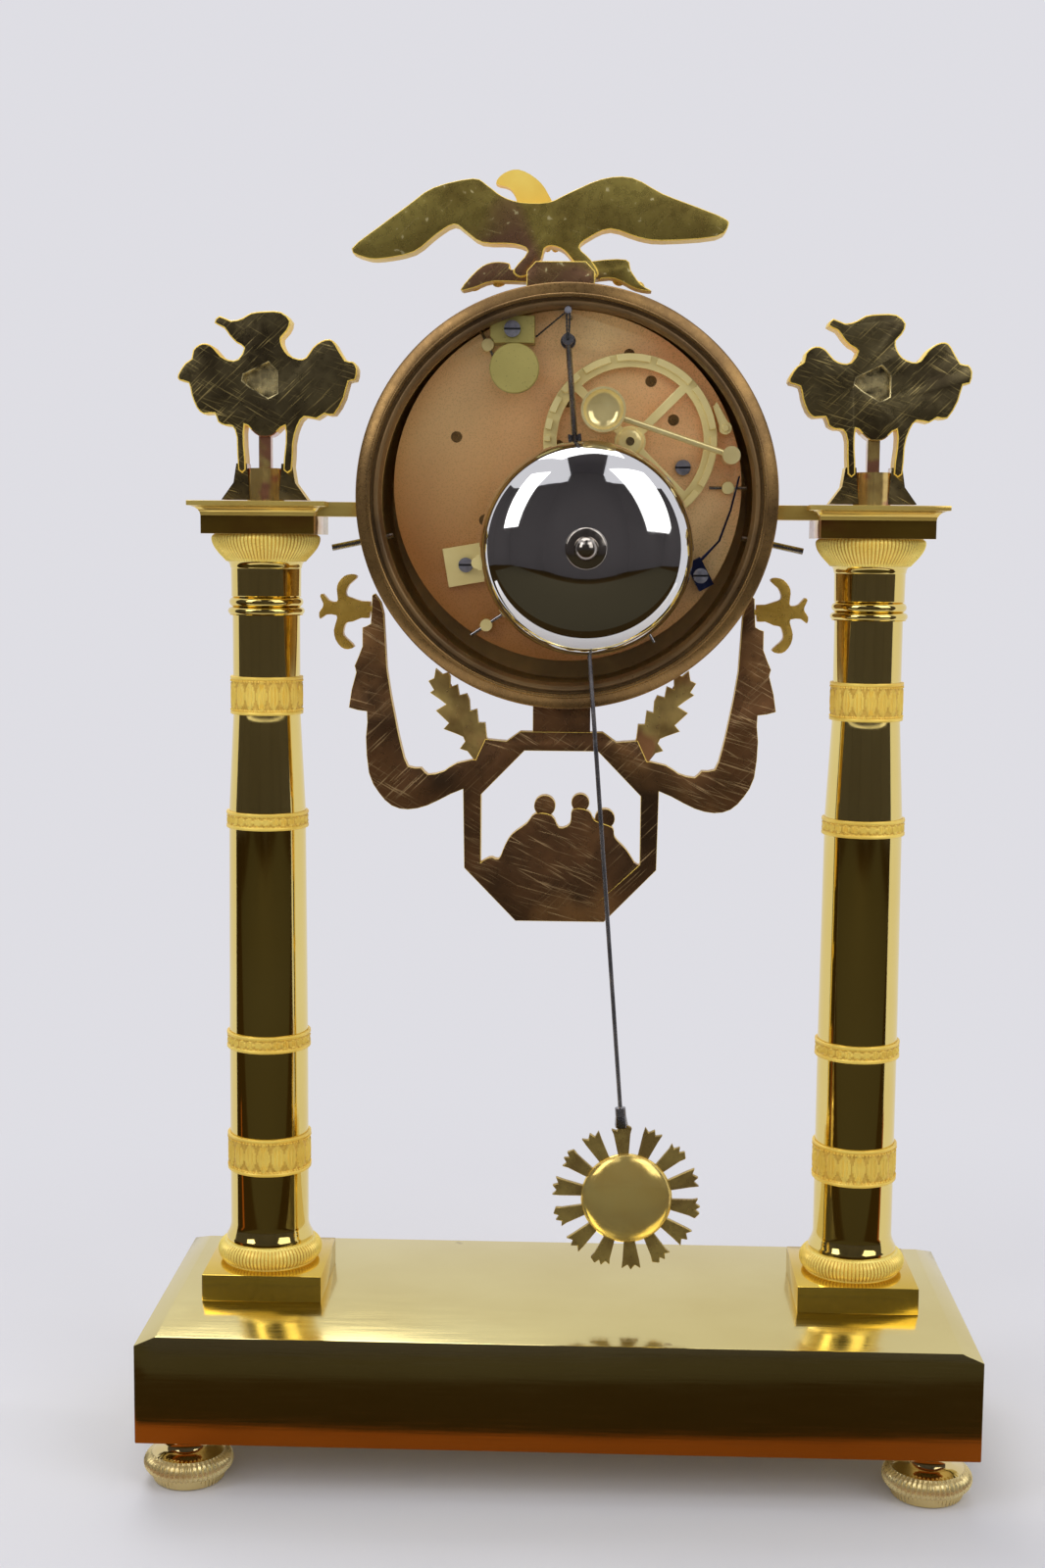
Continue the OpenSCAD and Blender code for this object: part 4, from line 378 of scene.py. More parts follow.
def mill(bm, centre, z0, z1, r0, teeth, depth):
    for v in bm.verts:
        off = Vector((v.co.x - centre[0], v.co.y - centre[1], 0))
        if z0 * mm < v.co.z - centre[2] < z1 * mm and off.length > r0 * mm:
            ridge = 0.5 + 0.5 * math.cos(teeth * math.atan2(off.y, off.x))
            v.co -= off.normalized() * depth * mm * (1 - ridge)
    for face in bm.faces:
        spot = face.calc_center_median() - Vector(centre)
        in_row = z0 * mm < spot.z < z1 * mm and math.hypot(spot.x, spot.y) > (r0 - depth) * mm
        if in_row and math.cos(teeth * math.atan2(spot.y, spot.x)) < -0.1:
            face.material_index = 1


def mark(bm, index, test):
    for face in bm.faces:
        if test(face, face.calc_center_median()):
            face.material_index = index


def add_part(target, part):
    kept = bpy.data.meshes.new("part")
    part.to_mesh(kept)
    target.from_mesh(kept)
    part.free()
    bpy.data.meshes.remove(kept)


def add_turned(target, outline, centre, steps, change=None, axis="Z"):
    part = bmesh.new()
    turn(part, outline, centre, axis, steps)
    if change:
        change(part)
    add_part(target, part)


gilt_polished = metal_finish(
    "gilt_polished", (0.92, 0.74, 0.26), (0.88, 0.68, 0.21), 18.0, 0.05, 0.10, 420.0, 0.03, (1.0, 1.0, 0.08))
gilt_matte = metal_finish(
    "gilt_matte", (1.0, 0.74, 0.15), (0.92, 0.62, 0.10), 90.0, 0.34, 0.48, 2600.0, 0.12, metal=0.3)
gilt_milled = metal_finish(
    "gilt_milled", (1.0, 0.81, 0.21), (0.98, 0.72, 0.15), 90.0, 0.24, 0.36, 2400.0, 0.03, metal=0.25)
# A darker, more orange copy of the milled gilt for the valleys between the milled ribs: painted shade in the
# grooves.
gilt_groove_shade = metal_finish(
    "gilt_groove_shade", (0.78, 0.48, 0.08), (0.60, 0.35, 0.05), 200.0, 0.34, 0.5, 2400.0, 0.06, metal=0.4)
# A darker, more orange copy of the matte gilt for the sunk ground between the chased leaves: painted shade.
chased_ground_shade = metal_finish(
    "chased_ground_shade", (0.86, 0.56, 0.10), (0.70, 0.42, 0.06), 900.0, 0.30, 0.46, 2600.0, 0.10, metal=0.35)
foot_brass = metal_finish("foot_brass", (0.84, 0.68, 0.32), (0.76, 0.58, 0.25), 60.0, 0.08, 0.16, 900.0, 0.04)
foot_milled = metal_finish(
    "foot_milled", (0.84, 0.70, 0.34), (0.74, 0.58, 0.26), 90.0, 0.24, 0.36, 2000.0, 0.10, metal=0.7)
foot_x, foot_y, foot_top = 110.6 * mm, 34.6 * mm, 16.0
milled_from, milled_to, milled_r = 2.8, 9.1, 10.9
feet = bmesh.new()
for x in (-foot_x, foot_x):
    for y in (-foot_y, foot_y):
        add_turned(feet, [(0, 0), (9.6, 0), (10.5, 0.5)] + arc(10.5, 5.76, 2.9, -68, 68, 14)
                   + [(10.9, 9.0), (9.4, 9.5)] + arc(9.8, 12.5, 3.0, 238, 122, 10)
                   + [(9.5, 15.3), (9.5, foot_top), (0, foot_top)], (x, y, 0), 312,
                   lambda bm: mill(bm, (x, y, 0), milled_from, milled_to, milled_r, 52, 0.6))
mark(feet, 1, lambda face, at: milled_from * mm < at.z < (milled_to - 0.2) * mm
     and math.hypot(abs(at.x) - foot_x, abs(at.y) - foot_y) > (milled_r - 0.4) * mm)
set_piece(feet, "bun_feet", "case", [foot_brass, foot_milled], ["feet"])

# Columns: a square block, a milled ring, a polished shaft with four chased bands, and a capital.
# A steel rod inside each column pulls the whole stack together.
column_x, bore_r = 91.0, 3.0
block_side, block_height, block_mid = 36.7, 8.3, 52.95
ring_foot, shaft_foot, capital_foot, abacus_foot = 57.1, 64.0, 258.5, 282.8
low_r, mid_r, top_r = 12.1, 11.7, 10.2
wide_band, narrow_band = 11.5, 5.1
blocks, rings, shafts, bands, beads, capitals, necks = (bmesh.new() for _ in range(7))


def bead_row(target, centre, z, r, count, size):
    for k in range(count):
        a = math.tau * k / count
        spot = Matrix.Translation((centre[0] + r * mm * math.cos(a), centre[1] + r * mm * math.sin(a),
                                   z * mm))
        bmesh.ops.create_uvsphere(target, u_segments=6, v_segments=4, radius=size * mm, matrix=spot)


def leaf_chasing(centre, z0, z1, r, leaves, depth):
    def change(bm):
        for v in bm.verts:
            off = Vector((v.co.x - centre[0], v.co.y - centre[1], 0))
            z = v.co.z / mm
            if z0 < z < z1 and off.length > r * mm:
                t = (z - z0) / (z1 - z0)
                a = (math.atan2(off.y, off.x) * leaves / math.tau) % 1.0
                width = 0.46 * math.sin(math.pi * t) ** 0.7
                inside = abs(a - 0.5)
                lift = 0.0
                if inside < width:
                    lift = 0.55 + 0.45 * math.cos(inside / width * math.pi * 3.0)
                elif min(inside, 1 - inside) > 0.38:
                    bud = max(0.0, math.cos((0.5 - inside) / 0.12 * math.pi / 2))
                    lift = 0.5 * bud * abs(math.cos(math.pi * t * 2))
                v.co += off.normalized() * depth * mm * lift
        # The sunk ground between the leaves takes the second, darker finish: painted shade.
        for face in bm.faces:
            spot = face.calc_center_median()
            out = math.hypot(spot.x - centre[0], spot.y - centre[1]) / mm
            if z0 < spot.z / mm < z1 and out < r + 0.4 * depth:
                face.material_index = 1
    return change


for side in (-1, 1):
    axis = (side * column_x * mm, 0.0, 0.0)
    bmesh.ops.create_cube(blocks, size=1.0, matrix=Matrix.Translation((axis[0], 0, block_mid * mm))
                          @ Matrix.Diagonal((block_side * mm, block_side * mm, block_height * mm, 1)))
    add_turned(rings, [(bore_r, ring_foot), (14.5, ring_foot)] + arc(13.0, 60.3, 3.2, -62, 72, 14)
               + [(13.7, 63.7), (13.7, shaft_foot), (bore_r, shaft_foot)], axis, 504,
               lambda bm: mill(bm, axis, 57.6, 63.2, 14.2, 84, 0.5))
    shaft = [(bore_r, shaft_foot), (13.4, shaft_foot), (13.4, 64.8)]
    shaft += [(low_r + 1.3 * (1 - k / 10) ** 2.2, 65.0 + 4.6 * k / 10) for k in range(11)]
    shaft += [(low_r, 130.1), (mid_r, 193.7), (mid_r, 198.8), (top_r, 228.5), (top_r, capital_foot)]
    shaft += [(bore_r, capital_foot)]
    add_turned(shafts, shaft, axis, 128)
    for z, r, h in ((86.4, low_r, wide_band), (125.0, low_r, narrow_band), (193.7, mid_r, narrow_band),
                    (228.5, top_r, wide_band)):
        wide = h == wide_band
        rim = [(r + 0.05, z), (r + 0.7, z), (r + 0.84, z + 0.15), (r + 0.84, z + 0.8), (r + 0.55, z + 1.0)]
        top = [(p, 2 * z + h - q) for p, q in reversed(rim)]
        rows = [(r + 0.26, z + 1.0 + (h - 2.0) * k / 16) for k in range(1, 16)]
        add_turned(bands, rim + rows + top, axis, 192,
                   leaf_chasing(axis, z + 1.05, z + h - 1.05, r + 0.2, 18 if wide else 28, 0.56))
        for edge_z in ((z + 1.35, z + h - 1.35) if wide else ()):
            bead_row(beads, axis, edge_z, r + 0.62, 72, 0.34)
    neck_top = capital_foot + 15.7
    neck = [(bore_r, capital_foot), (11.2, capital_foot)] + arc(10.4, capital_foot + 1.2, 1.2, -60, 90, 6)
    neck += arc(9.7, capital_foot + 3.9, 1.5, -80, 80, 8) + [(10.7, capital_foot + 5.6)]
    neck += [(10.5 + 0.1 * k / 6, capital_foot + 5.8 + 8.2 * k / 6) for k in range(7)]
    neck += arc(13.4, capital_foot + 14.2, 2.6, 180, 118, 6) + [(bore_r, capital_foot + 16.6)]
    add_turned(necks, neck, axis, 128)
    echinus = [(bore_r, neck_top + 0.4), (12.0, neck_top + 0.4)]
    echinus += [(12.0 + 4.4 * math.sin(math.radians(9 * k)), neck_top + 0.5 + 7.6 * k / 11)
                for k in range(1, 11)]
    echinus += [(16.2, abacus_foot - 0.6), (15.4, abacus_foot), (bore_r, abacus_foot)]
    add_turned(capitals, echinus, axis, 504,
               lambda bm: mill(bm, axis, neck_top + 1.0, abacus_foot - 0.3, 12.3, 84, 0.5))
round_edges(blocks, 0.3 * mm)
block_brass = metal_finish(
    "block_brass", (0.88, 0.62, 0.10), (0.76, 0.52, 0.07), 30.0, 0.08, 0.16, 600.0, 0.04, metal=0.9)
set_piece(blocks, "column_block_pair", "case", [block_brass], ["column_blocks"])
# The valleys of the milled rings and capitals take the darker groove finish, painted shade.
set_piece(rings, "milled_rings", "case", [gilt_milled, gilt_groove_shade], ["column_base_rings"])
set_piece(shafts, "polished_shafts", "case", [gilt_polished], ["column_shafts"], 40.0)
set_piece(bands, "chased_bands", "case", [gilt_matte, chased_ground_shade], ["column_bands"], 60.0)
set_piece(beads, "band_beads", "case", [gilt_matte])
set_piece(necks, "capital_necks", "case", [gilt_polished], ["capitals"], 40.0)
set_piece(capitals, "capital_mouldings", "case", [gilt_milled, gilt_groove_shade], ["capitals"])
steel = metal_finish("steel", (0.50, 0.50, 0.52), (0.36, 0.36, 0.38), 120.0, 0.16, 0.30, 1800.0, 0.06)
dress(steel, "tie_rods")


# Cornices: a square abacus under a slab with a hollow moulding, cut from polished brass.
# Each has a flat arm that reaches the drum and carries it.
def broken_copy(name, width, segments=2, angle=32.0):
    bm = bmesh.new()
    bm.from_mesh(nodes[name].data)
    bm.transform(nodes[name].matrix_world)
    bmesh.ops.remove_doubles(bm, verts=bm.verts, dist=2e-6)
    bmesh.ops.dissolve_limit(bm, angle_limit=math.radians(0.6), verts=bm.verts, edges=bm.edges)
    if width:
        round_edges(bm, width * mm, segments, angle)
    return bm


cornice_brass = metal_finish(
    "cornice_brass", (0.96, 0.72, 0.19), (0.84, 0.57, 0.13), 40.0, 0.08, 0.18, 500.0, 0.05, (0.1, 1.0, 1.0),
    metal=0.7)
# The abacus below each slab takes a darker copy of the cornice brass with copper-red patches: painted
# reflection, dark with warm patches.
abacus_painted_reflection = metal_finish(
    "abacus_painted_reflection", (0.88, 0.62, 0.16), (0.66, 0.40, 0.12), 50.0, 0.08, 0.18, 500.0, 0.05, (0.1, 1.0, 1.0),
    bloom_and_reflection=((0.62, 0.26, 0.12), 38.0, 0.56, 0.66))
abacus_top = abacus_foot + 5.2
slabs = broken_copy("cornices", 0.25)
# Faces below the abacus top take the abacus finish, painted reflection.
mark(slabs, 1, lambda face, at: at.z < abacus_top * mm)
set_piece(slabs, "cornice_slabs", "case", [cornice_brass, abacus_painted_reflection], ["cornices"],
          turned=False)

# Drum: an aged brass shell with a turned rim behind and a gilt bezel in front.
# Two steel pins through its sides lock the bezel's sleeve and so the movement.
drum_z = 293.9
drum_axis = (0.0, 0.0, drum_z * mm)
sleeve_in, sleeve_out, bezel_back = 55.55, 57.05, -38.0
drum_brass = metal_finish(
    "drum_brass", (0.34, 0.20, 0.07), (0.19, 0.11, 0.04), 60.0, 0.22, 0.36, 700.0, 0.10, metal=0.75)
# A darker, rougher copy of the drum brass for the rim's inner step and groove: painted shade.
drum_groove_shade = metal_finish(
    "drum_groove_shade", (0.22, 0.13, 0.05), (0.11, 0.065, 0.028), 50.0, 0.26, 0.44, 700.0, 0.10, metal=0.5)
# The inside of the drum takes a much paler, less metallic copy of the drum brass: painted light and warm
# reflection in the shaded interior.
drum_inside_painted_light = metal_finish(
    "drum_inside_painted_light", (0.74, 0.47, 0.14), (0.48, 0.30, 0.09), 50.0, 0.26, 0.44, 700.0, 0.10, metal=0.15)
shell = broken_copy("drum_shell", 0.2)
# The shell's inward faces take the paler inside finish, painted light.
mark(shell, 1, lambda face, at: face.normal.dot(Vector((at.x, 0.0, at.z - drum_z * mm))) < 0)
set_piece(shell, "drum_case", "case", [drum_brass, drum_inside_painted_light], ["drum_shell"], turned=False)


def from_drum(spot):
    return math.hypot(spot.x, spot.z - drum_z * mm)


rim = bmesh.new()
turn(rim, [(sleeve_in, 14.0), (sleeve_out, 14.0), (sleeve_out, 19.0), (60.9, 19.0), (61.6, 19.7),
           (61.5, 20.5), (61.1, 20.9), (58.4, 21.7)] + arc(57.7, 22.0, 0.6, 0, 180, 8)
     + [(56.9, 20.7), (56.4, 20.5)] + arc(55.5, 20.9, 0.9, 0, 190, 8)
     + [(54.2, 19.8), (54.0, 19.0), (sleeve_in, 17.0)], drum_axis, "Y", 192)
# The rim's inner step and groove take the darker finish, painted shade; its sleeve inside the drum takes the
# paler inside finish, painted light.
mark(rim, 1, lambda face, at: from_drum(at) < 57.0 * mm)
mark(rim, 2, lambda face, at: from_drum(at) < 57.0 * mm and at.y < 17.5 * mm)
set_piece(rim, "turned_rim", "case", [drum_brass, drum_groove_shade, drum_inside_painted_light], ["rear_rim"], 50.0)
bezel = bmesh.new()
turn(bezel, [(51.0, bezel_back), (51.0, -39.0)] + arc(54.0, -39.2, 3.0, 180, 262, 8) + [(54.6, -42.6)]
     + arc(56.4, -41.2, 1.8, 215, 325, 8) + [(58.2, -42.0)] + arc(58.6, -40.6, 2.3, 265, 360, 10)
     + [(60.9, bezel_back), (sleeve_out, bezel_back), (sleeve_out, 3.0), (sleeve_in, 3.0), (sleeve_in, -30.0),
        (46.0, -30.0), (46.0, -31.5), (sleeve_in, -31.5), (sleeve_in, bezel_back)], drum_axis, "Y", 192)
# The bezel's sleeve inside the drum takes the paler inside finish, painted light.
mark(bezel, 1, lambda face, at: at.y > -37.0 * mm and from_drum(at) < 57.3 * mm)
set_piece(bezel, "gilt_bezel", "case", [gilt_polished, drum_inside_painted_light], ["front_bezel"], 40.0)
dress(steel, "taper_pins", "case_screws")

# Cast eagles: two on the cornices and a larger one, with leafy branches, on the drum.
# Their backs are left flat, dark and scratched from the file, and their edges and fronts are gilt.
cast_gilt = metal_finish(
    "cast_gilt", (0.95, 0.72, 0.21), (0.86, 0.60, 0.15), 70.0, 0.18, 0.32, 1400.0, 0.02, metal=0.7)
cast_back = metal_finish(
    "cast_back", (0.20, 0.16, 0.075), (0.08, 0.06, 0.03), 60.0, 0.24, 0.42, 420.0, 0.20, metal=0.85,
    scratches=((0.85, 0.66, 0.25), 2800.0, 0.62, 0.70))
# The top eagle's back is a much lighter copy of the dark cast back, with bright gold specks: painted
# reflection of gold light.
wing_back_painted_light = metal_finish(
    "wing_back_painted_light", (0.59, 0.47, 0.12), (0.38, 0.28, 0.07), 75.0, 0.22, 0.36, 420.0, 0.20, metal=0.85,
    bloom_and_reflection=((0.40, 0.22, 0.12), 24.0, 0.58, 0.66), specks_and_glints=((0.98, 0.86, 0.44), 420.0, 0.66, 0.72),
    scratches=((0.92, 0.74, 0.30), 2800.0, 0.66, 0.74))
# The hollow in each side eagle's back is mottled between near-black and bright gilt: painted shade inside the
# recess and painted highlights on its walls.
hollow_shade_and_glints = metal_finish(
    "hollow_shade_and_glints", (1.0, 0.84, 0.42), (0.07, 0.055, 0.03), 300.0, 0.18, 0.36, 500.0, 0.30, metal=0.7)
perch_brass = metal_finish(
    "perch_brass", (0.88, 0.66, 0.24), (0.62, 0.42, 0.14), 160.0, 0.10, 0.22, 600.0, 0.06, metal=0.85,
    bloom_and_reflection=((0.55, 0.26, 0.15), 120.0, 0.52, 0.60))


def plume(bm, root, tip, front, width, lift):
    along = Vector((tip[0] - root[0], 0.0, tip[1] - root[1]))
    half = along.length * 0.5
    along.normalize()
    across = along.cross(Vector((0, 1, 0)))
    lay = Matrix((along, (0, 1, 0), across)).transposed().to_4x4()
    middle = Vector(((root[0] + tip[0]) / 2, front, (root[1] + tip[1]) / 2)) * mm
    size = Matrix.Diagonal((half * mm, lift * mm, width * 0.5 * mm, 1))
    bmesh.ops.create_uvsphere(bm, u_segments=10, v_segments=8, radius=1.0,
                              matrix=Matrix.Translation(middle) @ lay @ size)


def step_between(a, b, t):
    return (a[0] + (b[0] - a[0]) * t, a[1] + (b[1] - a[1]) * t)


def moved(spot, x, z, mirror=1):
    return (x + mirror * spot[0], z + spot[1])


def belly_feathers(bm, x, front, foot, heights, girth, middle, reach, count, turn_by, length):
    for row, z in enumerate(heights):
        belly = girth * math.sqrt(max(0.0, 1 - ((z - middle) / reach) ** 2))
        for k in range(-count, count + 1):
            a = math.radians(turn_by * k + (turn_by / 2 if row % 2 else 0))
            spot = Matrix.Translation(((x + belly * math.sin(a)) * mm, (front - belly * math.cos(a)) * mm,
                                       (foot + z) * mm))
            bmesh.ops.create_uvsphere(bm, u_segments=8, v_segments=6, radius=1.0, matrix=spot
                                      @ Matrix.Diagonal((1.5 * mm, 0.7 * mm, length * mm, 1)))


def back_rim(bm, depth):
    return [e for e in bm.edges if len(e.link_faces) == 2 and min(v.co.y for v in e.verts) > depth * mm
            and sorted(f.normal.y > 0.95 for f in e.link_faces) == [False, True]
            and e.calc_face_angle(0.0) > 0.9]


def gild_edges(bm, depth, width):
    corners = dict.fromkeys(v for e in back_rim(bm, depth) for v in e.verts)
    bmesh.ops.remove_doubles(bm, verts=list(corners), dist=0.3 * mm)
    bevel(bm, back_rim(bm, depth), width * mm, 2)
    bmesh.ops.dissolve_degenerate(bm, dist=merge_gap, edges=bm.edges)


def mark_backs(bm, depth):
    for face in bm.faces:
        if face.normal.y > 0.95 and face.calc_center_median().y > depth * mm:
            face.material_index = 1
        elif face.normal.y > -0.6:
            face.material_index = 2


cornice_top, breast_y = 292.4, -4.8
perch_top, perch_r = 21.0, 5.2
hollow_low, hollow_high, hollow_half = 28.0, 44.0, 6.6
wing_rows = ((7, (9, 36), (18, 42), (12, 26), (24.6, 36.6), 3.6),
             (6, (8.5, 40), (18, 44.5), (11, 32), (22, 40.5), 3.2),
             (5, (9, 41.5), (17.5, 46), (10.5, 37.5), (20.5, 43.5), 2.8))
for name in ("eagle_left", "eagle_right"):
    at = math.copysign(column_x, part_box(name)[0].x)
    back = broken_copy(name, 0.0)
    gild_edges(back, 3.0, 0.5)
    mark_backs(back, 2.4)
    for face in back.faces:
        spot = face.calc_center_median() / mm - Vector((at, 0.0, cornice_top))
        if spot.z < perch_top and math.hypot(spot.x, 0.4 * spot.y) < perch_r and face.material_index == 2:
            face.material_index = 4
        # Faces in the back's hollow take the mottled hollow finish, painted shade and highlights.
        elif hollow_low < spot.z < hollow_high and abs(spot.x) < hollow_half and face.material_index == 2:
            face.material_index = 3
    set_piece(back, name + "_casting", "case",
              [cast_gilt, cast_back, gilt_matte, hollow_shade_and_glints, perch_brass], [name], turned=False)
    plumage = bmesh.new()
    for wing in (1, -1):
        for row, (count, root_a, root_b, tip_a, tip_b, wide) in enumerate(wing_rows):
            for k in range(count):
                t = k / (count - 1)
                root = moved(step_between(root_a, root_b, t), at, cornice_top, wing)
                tip = moved(step_between(tip_a, tip_b, t), at, cornice_top, wing)
                plume(plumage, root, tip, breast_y - 0.5 * row, wide, 1.0)
    belly_feathers(plumage, at, breast_y, cornice_top, [24.5 + 2.9 * k for k in range(7)], 8.0, 33.0, 12.6, 3,
                   24, 2.1)
    plume(plumage, (at + 3.4, cornice_top + 51.6), (at + 10.5, cornice_top + 50.6), -4.4, 3.6, 2.0)
    set_piece(plumage, name + "_plumage", "case", [cast_gilt])
top_x, top_front = 2.4, 1.0
back = broken_copy("top_eagle", 0.0)
gild_edges(back, 7.8, 1.0)
mark_backs(back, 7.8)
set_piece(back, "top_eagle_casting", "case", [cast_gilt, wing_back_painted_light, gilt_matte], ["top_eagle"],
          turned=False)
plumage = bmesh.new()
left_tips = [(16, 76), (20, 76), (24, 77), (28, 79.8), (32, 81.4), (36, 79), (40, 75.8), (44, 73), (49, 71.6),
             (54, 71), (59, 71.8)]
right_tips = [(-8 - 3.8 * k, 78.4 + 0.4 * math.cos(k)) for k in range(11)]
for tips, root_a, root_b, rows in (
        (left_tips, (15, 85), (50, 80), 0), (right_tips, (-3, 86), (-38, 83.4), 0),
        ([(17.5 + 4.2 * k, 81.6 - 0.1 * k) for k in range(8)], (16, 86.8), (43, 85), 1),
        ([(-7 - 3.9 * k, 82.4) for k in range(8)], (-4, 88), (-30, 87), 1)):
    for k, tip in enumerate(tips):
        root = step_between(root_a, root_b, k / (len(tips) - 1))
        plume(plumage, moved(root, top_x, drum_z), moved(tip, top_x, drum_z),
              top_front - 0.6 * rows, 4.2, 1.0)
belly_feathers(plumage, top_x + 2, top_front, drum_z, [75.0 + 2.3 * k for k in range(5)], 7.0, 79.5, 6.6, 2,
               28, 2.0)
for k in range(5):
    for start, end in (((9, 65.5), (27, 62.5)), ((-9, 66.5), (-24, 62.5))):
        root = step_between(start, end, k / 5)
        tip = step_between(start, end, (k + 1.2) / 5)
        plume(plumage, moved(root, top_x, drum_z),
              (top_x + tip[0], drum_z + tip[1] + (1.6 if k % 2 else -0.6)), top_front + 0.8, 3.0, 1.1)
plume(plumage, (top_x + 9.2, drum_z + 91.0), (top_x + 15.8, drum_z + 92.6), top_front - 0.6, 5.0, 2.4)
set_piece(plumage, "top_eagle_plumage", "case", [cast_gilt])

# Pendant: one flat-backed casting below the drum, with an octagon frame around a figure group,
# oak sprigs, drapery swags and finials; a screw from inside the drum holds its neck.
pendant_back = metal_finish(
    "pendant_back", (0.26, 0.125, 0.05), (0.09, 0.05, 0.024), 42.0, 0.22, 0.40, 380.0, 0.22, metal=0.8,
    bloom_and_reflection=((0.50, 0.25, 0.09), 34.0, 0.53, 0.70), scratches=((0.86, 0.58, 0.28), 2600.0, 0.62, 0.70))
sprig_back = metal_finish(
    "sprig_back", (0.70, 0.50, 0.16), (0.40, 0.25, 0.08), 110.0, 0.26, 0.42, 700.0, 0.15, metal=0.8,
    bloom_and_reflection=((0.42, 0.20, 0.08), 60.0, 0.50, 0.60))
lily_gilt = metal_finish(
    "lily_gilt", (0.82, 0.52, 0.10), (0.64, 0.38, 0.06), 120.0, 0.24, 0.40, 900.0, 0.10, metal=0.75)
pendant_x, pendant_front = 0.9, 5.5
octagon_z, octagon_half = -98.4, 29.4
lily_depth, sprig_depth, sprig_from = 9.7, 10.0, 18.0
plaque = broken_copy("pendant_plaque", 0.0)
gild_edges(plaque, 9.0, 0.3)
for face in plaque.faces:
    middle = face.calc_center_median()
    lily = middle.y < lily_depth * mm
    sprig = middle.y < sprig_depth * mm and abs(middle.x / mm - pendant_x) > sprig_from
    if face.normal.y > 0.95 and middle.y > 8.5 * mm:
        face.material_index = 3 if lily else 2 if sprig else 1
    elif face.normal.y > -0.6:
        face.material_index = 3 if lily else 4
set_piece(plaque, "pendant_casting", "case",
          [cast_gilt, pendant_back, sprig_back, lily_gilt, gilt_matte], ["pendant_plaque"], turned=False)
relief = bmesh.new()


def pendant_plume(root, tip, front, width, lift, mirrors=(1, -1)):
    for mirror in mirrors:
        plume(relief, moved(root, pendant_x, drum_z, mirror), moved(tip, pendant_x, drum_z, mirror),
              front, width, lift)


def relief_ball(x, front, z, radius, sides):
    centre = Matrix.Translation(((pendant_x + x) * mm, front * mm, (drum_z + z) * mm))
    bmesh.ops.create_uvsphere(relief, u_segments=sides, v_segments=sides * 3 // 4, radius=radius * mm,
                              matrix=centre)


frame_line = [(0.0, 0.885), (0.41, 0.885), (0.9, 0.375), (0.9, -0.39), (0.415, -0.872), (0.0, -0.872)]
for a, b in zip(frame_line, frame_line[1:]):
    count = int(math.dist(a, b) * octagon_half / 1.9)
    for k in range(count):
        spot = step_between(a, b, (k + 0.5) / count)
        for mirror in (1, -1):
            relief_ball(mirror * octagon_half * spot[0], pendant_front, octagon_z + octagon_half * spot[1],
                        0.85, 8)
folds = [(55.2, -36), (56, -44), (56.9, -54), (55.6, -66), (53.4, -77), (49.3, -85), (41.5, -87.3),
         (33.5, -84.6), (26.5, -81.6)]
for a, b in zip(folds, folds[1:]):
    for shift in (-1.2, 1.2):
        pendant_plume((a[0] + shift, a[1] + 0.5), (b[0] + shift, b[1] - 0.5), pendant_front + 0.4, 2.2, 1.5)
for k in range(6):
    stem = step_between((25.4, -74), (36.2, -55.8), k / 6)
    for lean in (-1.9, 1.9):
        pendant_plume(stem, (stem[0] + 1 + lean, stem[1] + 2.6 - lean * 0.5), pendant_front + 0.9, 1.5, 1.0)
for root, tip in (((58, -33.3), (71.2, -33.1)), ((65.9, -31.2), (66.1, -26.2)),
                  ((65.9, -35.4), (66.7, -41.6)), ((66.2, -26.4), (63.1, -23.6)),
                  ((66.9, -41.6), (63.9, -44.3))):
    pendant_plume(root, tip, pendant_front + 0.3, 1.4, 1.2)
for x, z, r in ((4.8, -91.7, 3.0), (-5.9, -90.6, 2.6), (-13.3, -95.4, 2.8)):
    relief_ball(x, pendant_front + 0.6, z, r, 16)
for root, tip, wide, lift in (((4.8, -95), (8, -112), 9.0, 3.4), ((-5.9, -94), (-6, -112), 8.0, 3.4),
                              ((-13.3, -99), (-15, -113), 8.0, 3.0), ((4, -104), (16, -111), 6.0, 3.0),
                              ((-14, -106), (-21, -113), 6.0, 2.6), ((-20, -116), (20, -115), 9.0, 2.6),
                              ((-14, -121.5), (14, -121.5), 7.0, 2.2), ((0, -100), (-6, -104), 3.0, 3.8)):
    pendant_plume(root, tip, pendant_front + 0.8, wide, lift, (1,))
set_piece(relief, "pendant_relief", "case", [cast_gilt])

# Dial: a white enamel disc on copper with fired black numerals and a minute track.
# Brass-ringed holes take the winding key, and blued steel hands sit on the motion work.
enamel = metal_finish(
    "enamel", (0.90, 0.89, 0.85), (0.87, 0.86, 0.81), 12.0, 0.10, 0.14, 60.0, 0.01, metal=0.0)
black_enamel = metal_finish(
    "black_enamel", (0.02, 0.02, 0.022), (0.012, 0.012, 0.014), 90.0, 0.14, 0.22, 300.0, 0.02, metal=0.0)
blued_steel = metal_finish(
    "blued_steel", (0.08, 0.11, 0.28), (0.05, 0.06, 0.16), 160.0, 0.14, 0.26, 900.0, 0.04)


def set_broken(name, width, segments, piece, body, finish):
    set_piece(broken_copy(name, width, segments), piece, body, [finish], [name], turned=False)


set_broken("dial", 0.2, 2, "dial_enamel", "case", enamel)
dial_face, numeral_r, numeral_half, track_r = -37.5, 39.5, 4.2, 47.5
thick_bar, thin_bar, serif_bar, slant = 1.2, 0.5, 0.35, 1.8
widths = {"I": 2.2, "V": 5.0, "X": 5.0}
numerals = bmesh.new()


